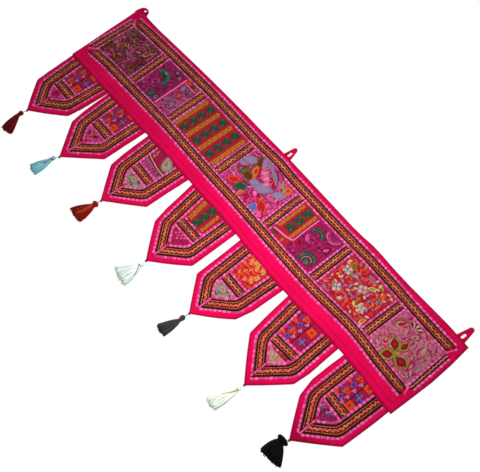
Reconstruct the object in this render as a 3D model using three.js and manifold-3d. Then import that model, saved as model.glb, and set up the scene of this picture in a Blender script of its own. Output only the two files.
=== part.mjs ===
// Door valance: a patchwork header band with seven pointed flaps, three hanging loops and
// seven thread tassels. Millimetres, +Z up, the front faces -Y. The origin is the middle of
// the header's top edge, and every drop is measured down from there.

import * as THREE from 'three';
import { mergeVertices } from 'three/addons/utils/BufferGeometryUtils.js';
import Module from 'manifold-3d';

const wasm = await Module();
wasm.setup();

// Driving sizes
const PITCH = 145;
const FLAP_COUNT = 7;
const CLOTH_THICK = 2.4;
const BRAID_THICK = 1.0;
const BRAID_WIDE = 17;
const FLAP_BRAID_WIDE = 18.5;
const BRAID_INSET = 15;
const SEAM_GAP = 0.4;
const LAYER_GAP = 0.6;
const TUCK = 12;
const MITRE_GAP = 2.4;
const BRAID_DROP = 1.2;
const CORNER_SOFT = 9;

// Header: how far its edges and braids stray from straight, left end to right end.
// x runs from the middle. The other columns are drops below the origin.
const HEADER_LINES = [
  { x: -520, top: 4, braidTop: 34.5, braidFoot: 157, foot: 196 },
  { x: -475, top: 8, braidTop: 34, braidFoot: 154.5, foot: 195 },
  { x: -435, top: 8.5, braidTop: 31, braidFoot: 150, foot: 194 },
  { x: -363, top: 5.5, braidTop: 27.5, braidFoot: 147.5, foot: 192.5 },
  { x: -290, top: 3, braidTop: 25.5, braidFoot: 146, foot: 191.5 },
  { x: -217, top: 1.5, braidTop: 24, braidFoot: 145.5, foot: 191 },
  { x: -145, top: 0.5, braidTop: 24.5, braidFoot: 146.5, foot: 189 },
  { x: -72, top: 0.5, braidTop: 25, braidFoot: 146, foot: 188.5 },
  { x: -30, top: 0, braidTop: 24, braidFoot: 145.5, foot: 187 },
  { x: -6, top: 0, braidTop: 21, braidFoot: 144.5, foot: 186 },
  { x: 18, top: 0, braidTop: 23.5, braidFoot: 145, foot: 186 },
  { x: 45, top: 0.5, braidTop: 25.5, braidFoot: 145.5, foot: 187 },
  { x: 90, top: 1.5, braidTop: 26, braidFoot: 146.5, foot: 190 },
  { x: 145, top: 2.5, braidTop: 27, braidFoot: 148, foot: 191.5 },
  { x: 217, top: 4, braidTop: 27, braidFoot: 148.5, foot: 193 },
  { x: 262, top: 0, braidTop: 26, braidFoot: 148, foot: 192 },
  { x: 305, top: 3, braidTop: 27, braidFoot: 145, foot: 189.5 },
  { x: 350, top: 4.5, braidTop: 28.5, braidFoot: 143.5, foot: 189 },
  { x: 380, top: 4, braidTop: 30.5, braidFoot: 145, foot: 189.5 },
  { x: 420, top: 3.5, braidTop: 32, braidFoot: 149, foot: 190 },
  { x: 460, top: 3, braidTop: 32.5, braidFoot: 150.5, foot: 193 },
  { x: 520, top: 6, braidTop: 32.5, braidFoot: 151.5, foot: 196 },
];

// Header ends: how far each end reaches from the middle, from the top down.
const HEADER_ENDS = [
  { drop: 0, left: -508, right: 508 },
  { drop: 50, left: -505.5, right: 511 },
  { drop: 100, left: -504, right: 511.5 },
  { drop: 150, left: -501, right: 508.5 },
  { drop: 196, left: -499.5, right: 505.5 },
];

// Header bars: middle of each upright bar at its upper and its lower end.
const BARS = [
  { upper: -361, lower: -357 },
  { upper: -226, lower: -224 },
  { upper: -64, lower: -63.5 },
  { upper: 89, lower: 90.5 },
  { upper: 231, lower: 231 },
  { upper: 374, lower: 371.5 },
];
const BAR_WIDE = 15.5;
const BAR_SPARE = 5;
const END_CLEAR = { left: 22, right: 17 };
const END_BRAIDS = [
  { name: 'left', upper: -483.5, lower: -485.5, wide: 12 },
  { name: 'right', upper: 494.5, lower: 494, wide: 6 },
];

// Flaps: side edges from the flap's own middle at its head, waist and shoulders, the drop of
// each shoulder, the point, the mitre seam above it, how far the slanting sides belly out, the
// cross bar, and how far the point hangs forward and the sides curl back.
const FLAPS = [
  { left: [-64, -61.5, -57], right: [70.4, 68.5, 67], shoulders: [291, 288], point: -1.5, seam: 1.5,
    pointDrop: 350, belly: [1, 2.5], bar: 260, barTilt: 0, kick: 2, curl: [3, 1] },
  { left: [-74, -72.2, -67.5], right: [60, 59.5, 58], shoulders: [288.5, 291.5], point: -8.7, seam: -8.7,
    pointDrop: 358, belly: [0.5, 0.5], bar: 254, barTilt: 0.01, kick: -3, curl: [1, 2] },
  { left: [-74.7, -73, -67.5], right: [60, 58, 57], shoulders: [287, 288.5], point: -9.4, seam: -9,
    pointDrop: 350.5, belly: [0.5, 1], bar: 252, barTilt: 0.02, kick: 2.5, curl: [2, 1] },
  { left: [-72.5, -65, -58.7], right: [67.5, 67.5, 66.7], shoulders: [288.5, 293], point: 1.5, seam: 1.3,
    pointDrop: 354.5, belly: [1, 2], bar: 253.5, barTilt: -0.02, kick: -2, curl: [2, 2.5] },
  { left: [-62.6, -60.5, -59.5], right: [69.6, 67, 64.5], shoulders: [296, 288.5], point: -4.4, seam: -3,
    pointDrop: 355, belly: [0.5, 3.5], bar: 258, barTilt: 0.005, kick: 3, curl: [1.5, 2] },
  { left: [-62, -58, -51.5], right: [73, 74, 75.4], shoulders: [291.5, 285.5], point: 16.7, seam: 11.3,
    pointDrop: 359, belly: [1.5, 1], bar: 262, barTilt: -0.08, kick: -2.5, curl: [3, 1] },
  { left: [-58, -60.5, -60], right: [65.5, 63.5, 58.7], shoulders: [285.5, 296], point: -5.8, seam: -3.5,
    pointDrop: 359.5, belly: [1, 1], bar: 257, barTilt: 0.05, kick: 3.5, curl: [1, 6] },
];
const HEAD_DROP = 188;
const WAIST_DROP = 238;
const POINT_WIDE = 3;

// Tassels: the head's top from the flap's middle, the head's half width, the bound neck, the
// sideways reach of the skirt's foot, the skirt's half width and depth at the foot, how much
// lower the right of its trimmed end is than the middle, and the colour.
const TASSELS = [
  { x: -4, top: 359.5, head: 5, neck: 12, foot: 18,
    length: 53, half: 12.5, depth: 9, slant: -4, colour: 0x4a0a10 },
  { x: -14.5, top: 366, head: 4.2, neck: 10, foot: -4,
    length: 54, half: 13, depth: 9, slant: 3, colour: 0x4f9aa2 },
  { x: -10.5, top: 359, head: 6.5, neck: 12, foot: -5,
    length: 52, half: 18, depth: 12, slant: 1, colour: 0x6a1610 },
  { x: 2, top: 362, head: 4.2, neck: 10, foot: -6.5,
    length: 54, half: 21, depth: 12, slant: 3.5, colour: 0xcfdcd5 },
  { x: -5.8, top: 365, head: 4.8, neck: 15, foot: -6,
    length: 53, half: 12.7, depth: 9, slant: 1, colour: 0x2e3336 },
  { x: 15, top: 367, head: 3.6, neck: 9, foot: -9,
    length: 62, half: 13, depth: 9, slant: 0, colour: 0xd9e0d6 },
  { x: -13, top: 364.5, head: 11, neck: 11, foot: 10,
    length: 42, half: 22, depth: 15, slant: -3, colour: 0x0a0606 },
];
// Head and bound neck of a tassel, as shares of its half width and its length.
const TASSEL_FORM = [
  { half: 0, down: 0 },
  { half: 0.66, down: 0.07 },
  { half: 1, down: 0.32 },
  { half: 0.82, down: 0.56 },
  { half: 0.6, down: 0.7 },
  { half: 0.64, down: 0.86 },
  { half: 0.9, down: 1 },
  { half: 0, down: 1 },
];
const STRAND_RINGS = [
  { count: 3, reach: 0.22 },
  { count: 8, reach: 0.6 },
  { count: 13, reach: 0.97 },
];
const ROOT_HALF = 0.45;
const ROOT_REACH = 0.72;
const ROOT_RISE = 1.2;
const BEND_OUT = 0.14;
const STRAND_HALF = 1.4;
const THREAD_HALF = 0.7;
const KNOT_HALF = 2.6;

// Loops: middle and seat of each hanging loop, its outer half widths, its height over the
// seat, and the opening in it.
const LOOPS = [
  { name: 'left', x: -496, seat: 5, base: 15, crown: 12.5,
    height: 12.7, slot: 3.4, slotHigh: 6.8, lean: -1 },
  { name: 'middle', x: -0.5, seat: 0, base: 10.5, crown: 5,
    height: 28.5, slot: 2.7, slotHigh: 13, lean: -1.5 },
  { name: 'right', x: 487, seat: 4.5, base: 11, crown: 5.3,
    height: 33, slot: 2.7, slotHigh: 13, lean: 1.5 },
];
const LOOP_THICK = 2.6;
const LOOP_STEPS = 5;
const LOOP_TAIL = 13;
const LOOP_SEAT_SHARE = 0.96;
const LOOP_SLOT_RISE = 2.2;
const LOOP_SLOT_LEAN = 0.4;

// How the cloth hangs: slow bows of the header, from its flat line.
const BOWS = [
  { size: 3.2, length: 520, phase: 0.6 },
  { size: 1.6, length: 290, phase: 2.1 },
];
const BOW_FADE = { from: -30, to: 150 };

// Steps along each kind of piece
const HEADER_STEPS = [40, 4];
const FLAP_COLUMNS = 4;
const FLAP_ROWS = [0, 0.12, 0.4, 0.7, 1];
const POINT_ROWS = [0.15, 0.4, 0.65, 0.86, 1];
const BAR_STEPS = 4;
const BRAID_ROWS = [0, 0.33, 0.67, 1];

const lerp = THREE.MathUtils.lerp;

// A table's column at a place between its rows, along its own key column.
function readTable(table, key, column, at) {
  let row = 1;
  while (row < table.length - 1 && table[row][key] < at) row += 1;
  const low = table[row - 1];
  const high = table[row];
  const part = THREE.MathUtils.clamp((at - low[key]) / (high[key] - low[key]), 0, 1);
  return lerp(low[column], high[column], part);
}

const headerLine = (column, x) => readTable(HEADER_LINES, 'x', column, x);
const headerEnd = (side, drop) => readTable(HEADER_ENDS, 'drop', side, drop);

// Middle plane of the header cloth: y at a place, with the bows fading in from the top edge.
function headerHang(x, drop) {
  const fade = THREE.MathUtils.smoothstep(drop, BOW_FADE.from, BOW_FADE.to);
  const wave = ({ size, length, phase }) => size * Math.sin((2 * Math.PI * x) / length + phase);
  return fade * BOWS.reduce((sum, bow) => sum + wave(bow), 0);
}

const flapMiddle = (index) => (index - (FLAP_COUNT - 1) / 2) * PITCH;

// Side edge of a flap at a drop: head, waist and shoulder, then the bellied slant to the point.
function flapEdge(flap, side, drop) {
  const edge = side < 0 ? flap.left : flap.right;
  const shoulder = flap.shoulders[side < 0 ? 0 : 1];
  const fromHead = Math.max(0, (drop - HEAD_DROP) / (WAIST_DROP - HEAD_DROP));
  if (drop <= WAIST_DROP) return lerp(edge[0], edge[1], fromHead);
  if (drop <= shoulder) return lerp(edge[1], edge[2], (drop - WAIST_DROP) / (shoulder - WAIST_DROP));
  const part = Math.min(1, (drop - shoulder) / (flap.pointDrop - shoulder));
  const belly = flap.belly[side < 0 ? 0 : 1] * Math.sin(Math.PI * part);
  return lerp(edge[2], flap.point + (side * POINT_WIDE) / 2, part) + side * belly;
}

// Middle plane of a flap: behind the header, then kicked at the point and curled at the sides.
function flapHang(index, x, drop) {
  const flap = FLAPS[index];
  const middle = flapMiddle(index);
  const foot = headerLine('foot', middle);
  const fall = Math.max(0, (drop - foot) / (flap.pointDrop - foot));
  const across = (x - middle) / (PITCH / 2);
  const curl = flap.curl[across < 0 ? 0 : 1] * across * across;
  const behind = CLOTH_THICK + LAYER_GAP;
  return headerHang(x, Math.min(drop, foot)) + behind - flap.kick * fall * fall + curl * fall;
}

// A closed sheet from rows of points: hang gives the middle plane, drops count downwards.
function sheet(rows, thick, hang) {
  const columns = rows[0].length;
  const positions = [];
  for (const side of [-1, 1]) {
    for (const row of rows) {
      for (const [x, drop] of row) positions.push(x, hang(x, drop) + (side * thick) / 2, -drop);
    }
  }
  const back = rows.length * columns;
  const index = [];
  const at = (r, c) => r * columns + c;
  const wall = (a, b) => index.push(a, b, b + back, a, b + back, a + back);
  for (let r = 0; r < rows.length - 1; r += 1) {
    for (let c = 0; c < columns - 1; c += 1) {
      const [a, b, d, e] = [at(r, c), at(r, c + 1), at(r + 1, c), at(r + 1, c + 1)];
      index.push(a, d, e, a, e, b);
      index.push(a + back, e + back, d + back, a + back, b + back, e + back);
    }
    wall(at(r + 1, 0), at(r, 0));
    wall(at(r, columns - 1), at(r + 1, columns - 1));
  }
  for (let c = 0; c < columns - 1; c += 1) {
    wall(at(0, c), at(0, c + 1));
    wall(at(rows.length - 1, c + 1), at(rows.length - 1, c));
  }
  const geometry = new THREE.BufferGeometry();
  geometry.setAttribute('position', new THREE.Float32BufferAttribute(positions, 3));
  geometry.setIndex(index);
  return geometry;
}

const range = (count) => Array.from({ length: count }, (_, i) => i);

function headerCloth() {
  const [across, down] = HEADER_STEPS;
  const rows = range(down + 1).map((r) => range(across + 1).map((c) => {
    const full = HEADER_ENDS.at(-1).drop * (r / down);
    const x = lerp(headerEnd('left', full), headerEnd('right', full), c / across);
    return [x, lerp(headerLine('top', x), headerLine('foot', x), r / down)];
  }));
  return sheet(rows, CLOTH_THICK, headerHang);
}

function flapCloth(index) {
  const flap = FLAPS[index];
  const middle = flapMiddle(index);
  const head = headerLine('foot', middle) - TUCK;
  const shoulder = Math.max(...flap.shoulders);
  const drops = FLAP_ROWS.map((part) => lerp(head, shoulder, part));
  drops.push(...POINT_ROWS.map((part) => lerp(shoulder, flap.pointDrop, part)));
  const rows = drops.map((drop) => range(FLAP_COLUMNS + 1).map((c) => {
    const x = lerp(flapEdge(flap, -1, drop), flapEdge(flap, 1, drop), c / FLAP_COLUMNS);
    return [middle + x, drop];
  }));
  return sheet(rows, CLOTH_THICK, (x, drop) => flapHang(index, x, drop));
}

// Braid lies on the cloth's front, one seam gap off it.
const BRAID_OFF = CLOTH_THICK / 2 + SEAM_GAP + BRAID_THICK / 2;

// A long braid of the header, above or below the patches.
function longBraid(column) {
  const middleDrop = (x) => headerLine(column, x);
  const left = headerEnd('left', middleDrop(-PITCH)) + END_CLEAR.left;
  const right = headerEnd('right', middleDrop(PITCH)) - END_CLEAR.right;
  const steps = HEADER_STEPS[0];
  const rows = [-1, 1].map((side) => range(steps + 1).map((c) => {
    const x = lerp(left, right, c / steps);
    return [x, middleDrop(x) + (side * BRAID_WIDE) / 2];
  }));
  return sheet(rows, BRAID_THICK, (x, drop) => headerHang(x, drop) - BRAID_OFF);
}

// An upright braid between the two long ones.
function uprightBraid(upper, lower, wide) {
  const top = headerLine('braidTop', upper) + BRAID_WIDE / 2 + BAR_SPARE;
  const foot = headerLine('braidFoot', lower) - BRAID_WIDE / 2 - BAR_SPARE;
  const rows = range(BAR_STEPS + 1).map((r) => [-1, 1].map((side) => {
    const part = r / BAR_STEPS;
    return [lerp(upper, lower, part) + (side * wide) / 2, lerp(top, foot, part)];
  }));
  return sheet(rows, BRAID_THICK, (x, drop) => headerHang(x, drop) - BRAID_OFF);
}

// The line through two points of a flap's edge, moved inwards.
function insetEdge(from, to, side, inset) {
  const inward = new THREE.Vector2(to.y - from.y, from.x - to.x).normalize().multiplyScalar(-side * inset);
  return [from.clone().add(inward), to.clone().add(inward)];
}

// Where two lines meet.
function meet([a, b], [c, d]) {
  const first = b.clone().sub(a);
  const second = d.clone().sub(c);
  const part = c.clone().sub(a).cross(second) / first.cross(second);
  return a.clone().addScaledVector(first, part);
}

// A line at a distance inside the flap's edge: down the side, round the shoulder and along the
// slant to the mitre seam.
function insetLine(index, side, inset) {
  const flap = FLAPS[index];
  const s = side < 0 ? 0 : 1;
  const middle = flapMiddle(index);
  const shoulderDrop = flap.shoulders[s];
  const place = (drop) => new THREE.Vector2(middle + flapEdge(flap, side, drop), drop);
  const sideEdge = insetEdge(place(WAIST_DROP), place(shoulderDrop), side, inset);
  const slant = insetEdge(place(shoulderDrop), place(flap.pointDrop), side, inset);
  const seamX = middle + flap.seam + side * MITRE_GAP;
  const seam = [new THREE.Vector2(seamX, 0), new THREE.Vector2(seamX, 1)];
  const corner = meet(sideEdge, slant);
  const mitre = meet(slant, seam);
  const headX = middle + flapEdge(flap, side, 0) - side * inset;
  const head = new THREE.Vector2(headX, headerLine('foot', headX) + BRAID_DROP);
  const above = corner.clone().lerp(head, CORNER_SOFT / corner.distanceTo(head));
  const below = corner.clone().lerp(mitre, CORNER_SOFT / corner.distanceTo(mitre));
  const soft = corner.clone().lerp(above.clone().lerp(below, 0.5), 0.5);
  const down = BRAID_ROWS.map((part) => head.clone().lerp(above, part));
  const along = BRAID_ROWS.map((part) => below.clone().lerp(mitre, part));
  return [...down, soft, ...along].map(({ x, y }) => [x, y]);
}

function flapBraid(index, side) {
  const outer = insetLine(index, side, BRAID_INSET);
  const inner = insetLine(index, side, BRAID_INSET + FLAP_BRAID_WIDE);
  const rows = outer.map((point, i) => (side < 0 ? [point, inner[i]] : [inner[i], point]));
  return sheet(rows, BRAID_THICK, (x, drop) => flapHang(index, x, drop) - BRAID_OFF);
}

// The short bar across a flap, between its side braids.
function crossBraid(index) {
  const flap = FLAPS[index];
  const middle = flapMiddle(index);
  const reach = BRAID_INSET + FLAP_BRAID_WIDE + BAR_SPARE;
  const left = flapEdge(flap, -1, flap.bar) + reach;
  const right = flapEdge(flap, 1, flap.bar) - reach;
  const rows = [-1, 1].map((side) => range(BAR_STEPS + 1).map((c) => {
    const x = lerp(left, right, c / BAR_STEPS);
    const drop = flap.bar + flap.barTilt * (x - (left + right) / 2);
    return [middle + x, drop + (side * BRAID_WIDE) / 2];
  }));
  return sheet(rows, BRAID_THICK, (x, drop) => flapHang(index, x, drop) - BRAID_OFF);
}

// A hanging loop: folded tape with a slot through it, its tail sewn behind the header.
function loopTape(loop) {
  const { base, crown, height, slot, slotHigh, lean } = loop;
  const seatHalf = base * LOOP_SEAT_SHARE;
  const outline = new THREE.Shape();
  outline.moveTo(-base, -LOOP_TAIL);
  outline.lineTo(base, -LOOP_TAIL);
  outline.lineTo(seatHalf, 0);
  outline.lineTo(crown + lean, height - crown);
  outline.absarc(lean, height - crown, crown, 0, Math.PI, false);
  outline.lineTo(-seatHalf, 0);
  const hole = new THREE.Path();
  const low = LOOP_SLOT_RISE + slot;
  const high = LOOP_SLOT_RISE + Math.max(slotHigh - slot, slot);
  hole.moveTo(-slot, low);
  hole.absarc(0, low, slot, Math.PI, 2 * Math.PI, false);
  hole.absarc(lean * LOOP_SLOT_LEAN, high, slot, 0, Math.PI, false);
  outline.holes.push(hole);
  const form = { depth: LOOP_THICK, bevelEnabled: false, curveSegments: LOOP_STEPS };
  const geometry = new THREE.ExtrudeGeometry(outline, form);
  geometry.rotateX(Math.PI / 2);
  const back = headerHang(loop.x, loop.seat) + CLOTH_THICK / 2 + LAYER_GAP + LOOP_THICK;
  geometry.translate(loop.x, back, -loop.seat);
  return geometry;
}

function toSolid(geometry) {
  const bare = geometry.clone();
  bare.deleteAttribute('normal');
  bare.deleteAttribute('uv');
  const merged = mergeVertices(bare);
  return new wasm.Manifold(new wasm.Mesh({
    numProp: 3,
    vertProperties: merged.attributes.position.array,
    triVerts: Uint32Array.from(merged.index.array),
  }));
}

function toGeometry(solid) {
  const mesh = solid.getMesh();
  const geometry = new THREE.BufferGeometry();
  geometry.setAttribute('position', new THREE.Float32BufferAttribute(mesh.vertProperties, 3));
  geometry.setIndex(Array.from(mesh.triVerts));
  return geometry;
}

// A three-sided lock of thread through given rings: centre and half width, top to bottom.
function lock(rings, turn, sides = 3) {
  const positions = [];
  for (const [centre, half] of rings) {
    for (const s of range(sides)) {
      const angle = turn + (s * 2 * Math.PI) / sides;
      positions.push(centre.x + half * Math.cos(angle), centre.y + half * Math.sin(angle), centre.z);
    }
  }
  const index = [];
  for (const r of range(rings.length - 1)) {
    for (const s of range(sides)) {
      const next = (s + 1) % sides;
      const [a, b] = [r * sides + s, r * sides + next];
      index.push(a, a + sides, b + sides, a, b + sides, b);
    }
  }
  const last = (rings.length - 1) * sides;
  for (const s of range(sides - 2)) {
    index.push(0, s + 1, s + 2);
    index.push(last, last + s + 2, last + s + 1);
  }
  const geometry = new THREE.BufferGeometry();
  geometry.setAttribute('position', new THREE.Float32BufferAttribute(positions, 3));
  geometry.setIndex(index);
  return toSolid(geometry);
}

// Skirt of a tassel: locks in rings, fanned from the flat underside of the neck to the
// trimmed foot.
function skirt(tassel, neck) {
  const locks = [];
  STRAND_RINGS.forEach(({ count, reach }, ring) => {
    for (const i of range(count)) {
      const angle = ((i + 0.37 * ring) * 2 * Math.PI) / count;
      const across = Math.cos(angle) * reach;
      const through = Math.sin(angle) * reach;
      const uneven = Math.sin(5.1 * i + 2.3 * ring + tassel.x);
      const rootReach = tassel.head * ROOT_REACH;
      const root = new THREE.Vector3(across * rootReach, through * rootReach, ROOT_RISE).add(neck);
      const end = new THREE.Vector3(
        neck.x + tassel.foot + across * tassel.half,
        neck.y + through * tassel.depth,
        neck.z - (tassel.length - tassel.neck) - tassel.slant * across + uneven,
      );
      const bend = new THREE.Vector3().lerpVectors(root, end, 0.5);
      bend.x += across * tassel.half * BEND_OUT + 0.5 * uneven;
      bend.y += through * tassel.depth * BEND_OUT;
      locks.push(lock([[root, ROOT_HALF], [bend, STRAND_HALF], [end, STRAND_HALF * 0.85]], angle));
    }
  });
  return locks;
}

// The knot on a flap's point: a small lump with the point's cloth cut out of it.
function pointKnot(tip) {
  const knot = new THREE.SphereGeometry(KNOT_HALF, 8, 5);
  knot.rotateX(Math.PI / 2);
  knot.scale(1, 1.25, 0.9);
  knot.translate(tip.x, tip.y, tip.z - KNOT_HALF * 0.4);
  const notch = new THREE.BoxGeometry(4 * KNOT_HALF, CLOTH_THICK + 2 * SEAM_GAP, 4 * KNOT_HALF);
  notch.translate(tip.x, tip.y, tip.z + 2 * KNOT_HALF - SEAM_GAP);
  return toSolid(knot).subtract(toSolid(notch));
}

function tasselCord(index) {
  const tassel = TASSELS[index];
  const flap = FLAPS[index];
  const middle = flapMiddle(index);
  const tipY = flapHang(index, middle + flap.point, flap.pointDrop);
  const tip = new THREE.Vector3(middle + flap.point, tipY, -flap.pointDrop);
  const top = new THREE.Vector3(middle + tassel.x, tipY, -tassel.top);
  const form = TASSEL_FORM.map(({ half, down }) => (
    new THREE.Vector2(half * tassel.head, -down * tassel.neck)
  ));
  const head = new THREE.LatheGeometry(form.reverse(), 8);
  head.rotateX(Math.PI / 2);
  head.translate(top.x, top.y, top.z);
  const start = tip.clone();
  start.z -= KNOT_HALF * 0.8;
  const end = top.clone();
  end.z -= tassel.neck * 0.2;
  const thread = lock([[start, THREAD_HALF], [end, THREAD_HALF]], 0.3, 4);
  const neck = top.clone();
  neck.z -= tassel.neck;
  const pieces = [pointKnot(tip), thread, toSolid(head), ...skirt(tassel, neck)];
  return toGeometry(wasm.Manifold.union(pieces));
}

// Finishes
const finish = (color, roughness) => new THREE.MeshStandardMaterial({ color, roughness, metalness: 0 });
const PINK = finish(0xdf0b55, 0.9);
const BRAID = finish(0x5a2418, 0.85);

const valance = new THREE.Group();

function add(name, geometry, material) {
  const mesh = new THREE.Mesh(geometry, material);
  mesh.name = name;
  valance.add(mesh);
}

add('header', headerCloth(), PINK);
for (const loop of LOOPS) add(`loop_${loop.name}`, loopTape(loop), PINK);
add('braid_top', longBraid('braidTop'), BRAID);
add('braid_bottom', longBraid('braidFoot'), BRAID);
for (const { name, upper, lower, wide } of END_BRAIDS) {
  add(`braid_${name}`, uprightBraid(upper, lower, wide), BRAID);
}
BARS.forEach(({ upper, lower }, i) => add(`bar_${i + 1}`, uprightBraid(upper, lower, BAR_WIDE), BRAID));
for (const i of range(FLAP_COUNT)) {
  add(`flap_${i + 1}`, flapCloth(i), PINK);
  add(`braid_${i + 1}_left`, flapBraid(i, -1), BRAID);
  add(`braid_${i + 1}_right`, flapBraid(i, 1), BRAID);
  add(`cross_${i + 1}`, crossBraid(i), BRAID);
  add(`tassel_${i + 1}`, tasselCord(i), finish(TASSELS[i].colour, 0.8));
}

export default valance;
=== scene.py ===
# Door valance: the looks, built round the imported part. Metres, +Z up, the front faces -Y.

import math

import bmesh
import bpy
import numpy as np
from mathutils import Matrix, Vector
from mathutils.bvhtree import BVHTree


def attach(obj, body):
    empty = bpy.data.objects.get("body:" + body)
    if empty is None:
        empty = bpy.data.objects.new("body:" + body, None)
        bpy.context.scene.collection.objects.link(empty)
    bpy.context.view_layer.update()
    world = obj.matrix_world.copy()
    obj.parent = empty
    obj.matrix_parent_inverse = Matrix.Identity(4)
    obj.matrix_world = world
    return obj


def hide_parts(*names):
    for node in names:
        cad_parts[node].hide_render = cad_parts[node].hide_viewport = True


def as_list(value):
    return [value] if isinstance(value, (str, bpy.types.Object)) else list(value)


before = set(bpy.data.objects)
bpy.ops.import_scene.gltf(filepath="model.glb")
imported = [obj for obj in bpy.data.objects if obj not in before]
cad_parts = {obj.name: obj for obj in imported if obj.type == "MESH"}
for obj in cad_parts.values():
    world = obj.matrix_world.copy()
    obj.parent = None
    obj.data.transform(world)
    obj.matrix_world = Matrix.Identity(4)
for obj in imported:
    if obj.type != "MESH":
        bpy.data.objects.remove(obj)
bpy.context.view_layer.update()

MM = 0.001
PITCH_MM = 145
PITCH = PITCH_MM * MM
FLAPS = range(1, 8)


# Camera, at the photograph's angle

CAMERA_LENS = 53.02
CAMERA_SENSOR = 36
CAMERA_PLACE = (0.5327, -1.2409, -0.5223)
CAMERA_RIGHT = (0.6263, 0.0179, 0.7794)
CAMERA_UP = (-0.7046, -0.4149, 0.5757)
CAMERA_BACK = (0.3337, -0.9097, -0.2472)

camera_data = bpy.data.cameras.new("camera")
camera_data.lens = CAMERA_LENS
camera_data.sensor_width = CAMERA_SENSOR
camera_data.sensor_fit = "HORIZONTAL"
camera = bpy.data.objects.new("camera", camera_data)
turn = Matrix((CAMERA_RIGHT, CAMERA_UP, CAMERA_BACK)).transposed().to_quaternion()
camera.matrix_world = Matrix.LocRotScale(Vector(CAMERA_PLACE), turn, None)
bpy.context.scene.collection.objects.link(camera)
bpy.context.scene.camera = camera


# Colours of cloth and thread, as they look in the picture, less the light that falls on them

LIGHT_SHARE = 0.44


def dye(red, green, blue):
    """A picture colour, from 0 to 255, as the cloth's own linear colour."""
    def channel(value):
        share = value / 255
        return share / 12.92 if share <= 0.04045 else ((share + 0.055) / 1.055) ** 2.4

    return tuple(LIGHT_SHARE * channel(value) for value in (red, green, blue)) + (1.0,)


DYES = {
    "hot_pink": dye(244, 0, 86),
    "deep_pink": dye(158, 0, 46),
    "pale_pink": dye(288, 128, 200),
    "rose": dye(252, 78, 158),
    "magenta": dye(176, 16, 104),
    "plum": dye(104, 14, 52),
    "crimson": dye(206, 8, 54),
    "red": dye(214, 28, 34),
    "orange": dye(262, 84, 26),
    "rust": dye(176, 34, 20),
    "maroon": dye(150, 16, 14),
    "brick": dye(222, 36, 34),
    "salmon": dye(255, 128, 84),
    "apricot": dye(290, 160, 132),
    "amber": dye(236, 150, 44),
    "ochre": dye(214, 138, 40),
    "gold": dye(226, 150, 74),
    "olive": dye(118, 100, 44),
    "moss": dye(158, 158, 52),
    "leaf_green": dye(40, 84, 60),
    "fir": dye(66, 104, 70),
    "deep_green": dye(14, 44, 32),
    "teal": dye(32, 124, 96),
    "pale_teal": dye(136, 206, 178),
    "violet": dye(92, 44, 150),
    "blue": dye(104, 112, 206),
    "lavender": dye(168, 140, 186),
    "slate": dye(120, 138, 170),
    "grey_leaf": dye(160, 128, 150),
    "cream": dye(240, 210, 150),
    "beige": dye(208, 170, 138),
    "stone": dye(160, 156, 130),
    "dusty_pink": dye(220, 126, 142),
    "lilac": dye(288, 128, 216),
    "mauve": dye(190, 84, 132),
    "brown": dye(112, 54, 32),
    "dark": dye(30, 0, 6),
    "white": dye(236, 222, 230),
}


def toned(colour, tone):
    """A colour made lighter or darker."""
    return [channel * tone for channel in colour[:3]] + [1.0]


# Materials

SPECULAR = 0.04
SHEEN_ROUGHNESS = 0.5
THREAD_SHADOW = (0.01, 0.002, 0.004, 1)
GROUND_SHADOW = (0.02, 0.002, 0.005, 1)


def node(tree, kind, settings=None, **inputs):
    """A shader node. An input is named, or numbered as i0, i1 and so on."""
    made = tree.nodes.new("ShaderNode" + kind)
    for key, value in (settings or {}).items():
        setattr(made, key, value)
    for key, value in inputs.items():
        numbered = key[0] == "i" and key[1:].isdigit()
        socket = made.inputs[int(key[1:]) if numbered else key.replace("_", " ")]
        if isinstance(value, bpy.types.NodeSocket):
            tree.links.new(value, socket)
        else:
            socket.default_value = value
    return made


def mixed(tree, share, low, high, blend="MIX"):
    settings = {"data_type": "RGBA", "blend_type": blend}
    return node(tree, "Mix", settings, i0=share, i6=low, i7=high).outputs[2]


def sums(tree, kind, first, second):
    return node(tree, "Math", {"operation": kind}, i0=first, i1=second).outputs[0]


def weighed(tree, *pairs):
    """The sum of values, each times its weight. A weight of None leaves its value as it is."""
    total = None
    for value, weight in pairs:
        part = value if weight is None else sums(tree, "MULTIPLY", value, weight)
        total = part if total is None else sums(tree, "ADD", total, part)
    return total


def less(tree, value):
    """One less a value."""
    return sums(tree, "SUBTRACT", 1.0, value)


def spread(tree, value, low, high):
    """A value from low to high brought to the range from 0 to 1."""
    return node(tree, "MapRange", None, Value=value, From_Min=low, From_Max=high).outputs[0]


def noise(tree, place, scale, detail=2.0):
    return node(tree, "TexNoise", None, Vector=place, Scale=scale, Detail=detail).outputs[0]


def bands(tree, place, axis, period, distortion=0.0):
    """Even bands along an axis, one for each period."""
    settings = {"wave_type": "BANDS", "bands_direction": axis}
    scale = 2 * math.pi / (20 * period)
    return node(tree, "TexWave", settings, Vector=place, Scale=scale, Distortion=distortion).outputs[1]


def empty_material(name, roughness, sheen, sheen_tint=(1, 1, 1, 1)):
    """A soft matte material, with its node tree and its shader."""
    material = bpy.data.materials.new(name)
    material.use_nodes = True
    tree = material.node_tree
    shader = tree.nodes["Principled BSDF"]
    shader.inputs["Roughness"].default_value = roughness
    shader.inputs["Specular IOR Level"].default_value = SPECULAR
    shader.inputs["Sheen Weight"].default_value = sheen
    shader.inputs["Sheen Roughness"].default_value = SHEEN_ROUGHNESS
    shader.inputs["Sheen Tint"].default_value = sheen_tint
    return material, tree, shader


def finish_material(tree, shader, colour, height, depth, strength=0.6):
    """Joins the colour, and a bump of that depth, to the shader."""
    bump = node(tree, "Bump", None, Strength=strength, Distance=depth, Height=height)
    tree.links.new(colour, shader.inputs["Base Color"])
    tree.links.new(bump.outputs[0], shader.inputs["Normal"])


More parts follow.
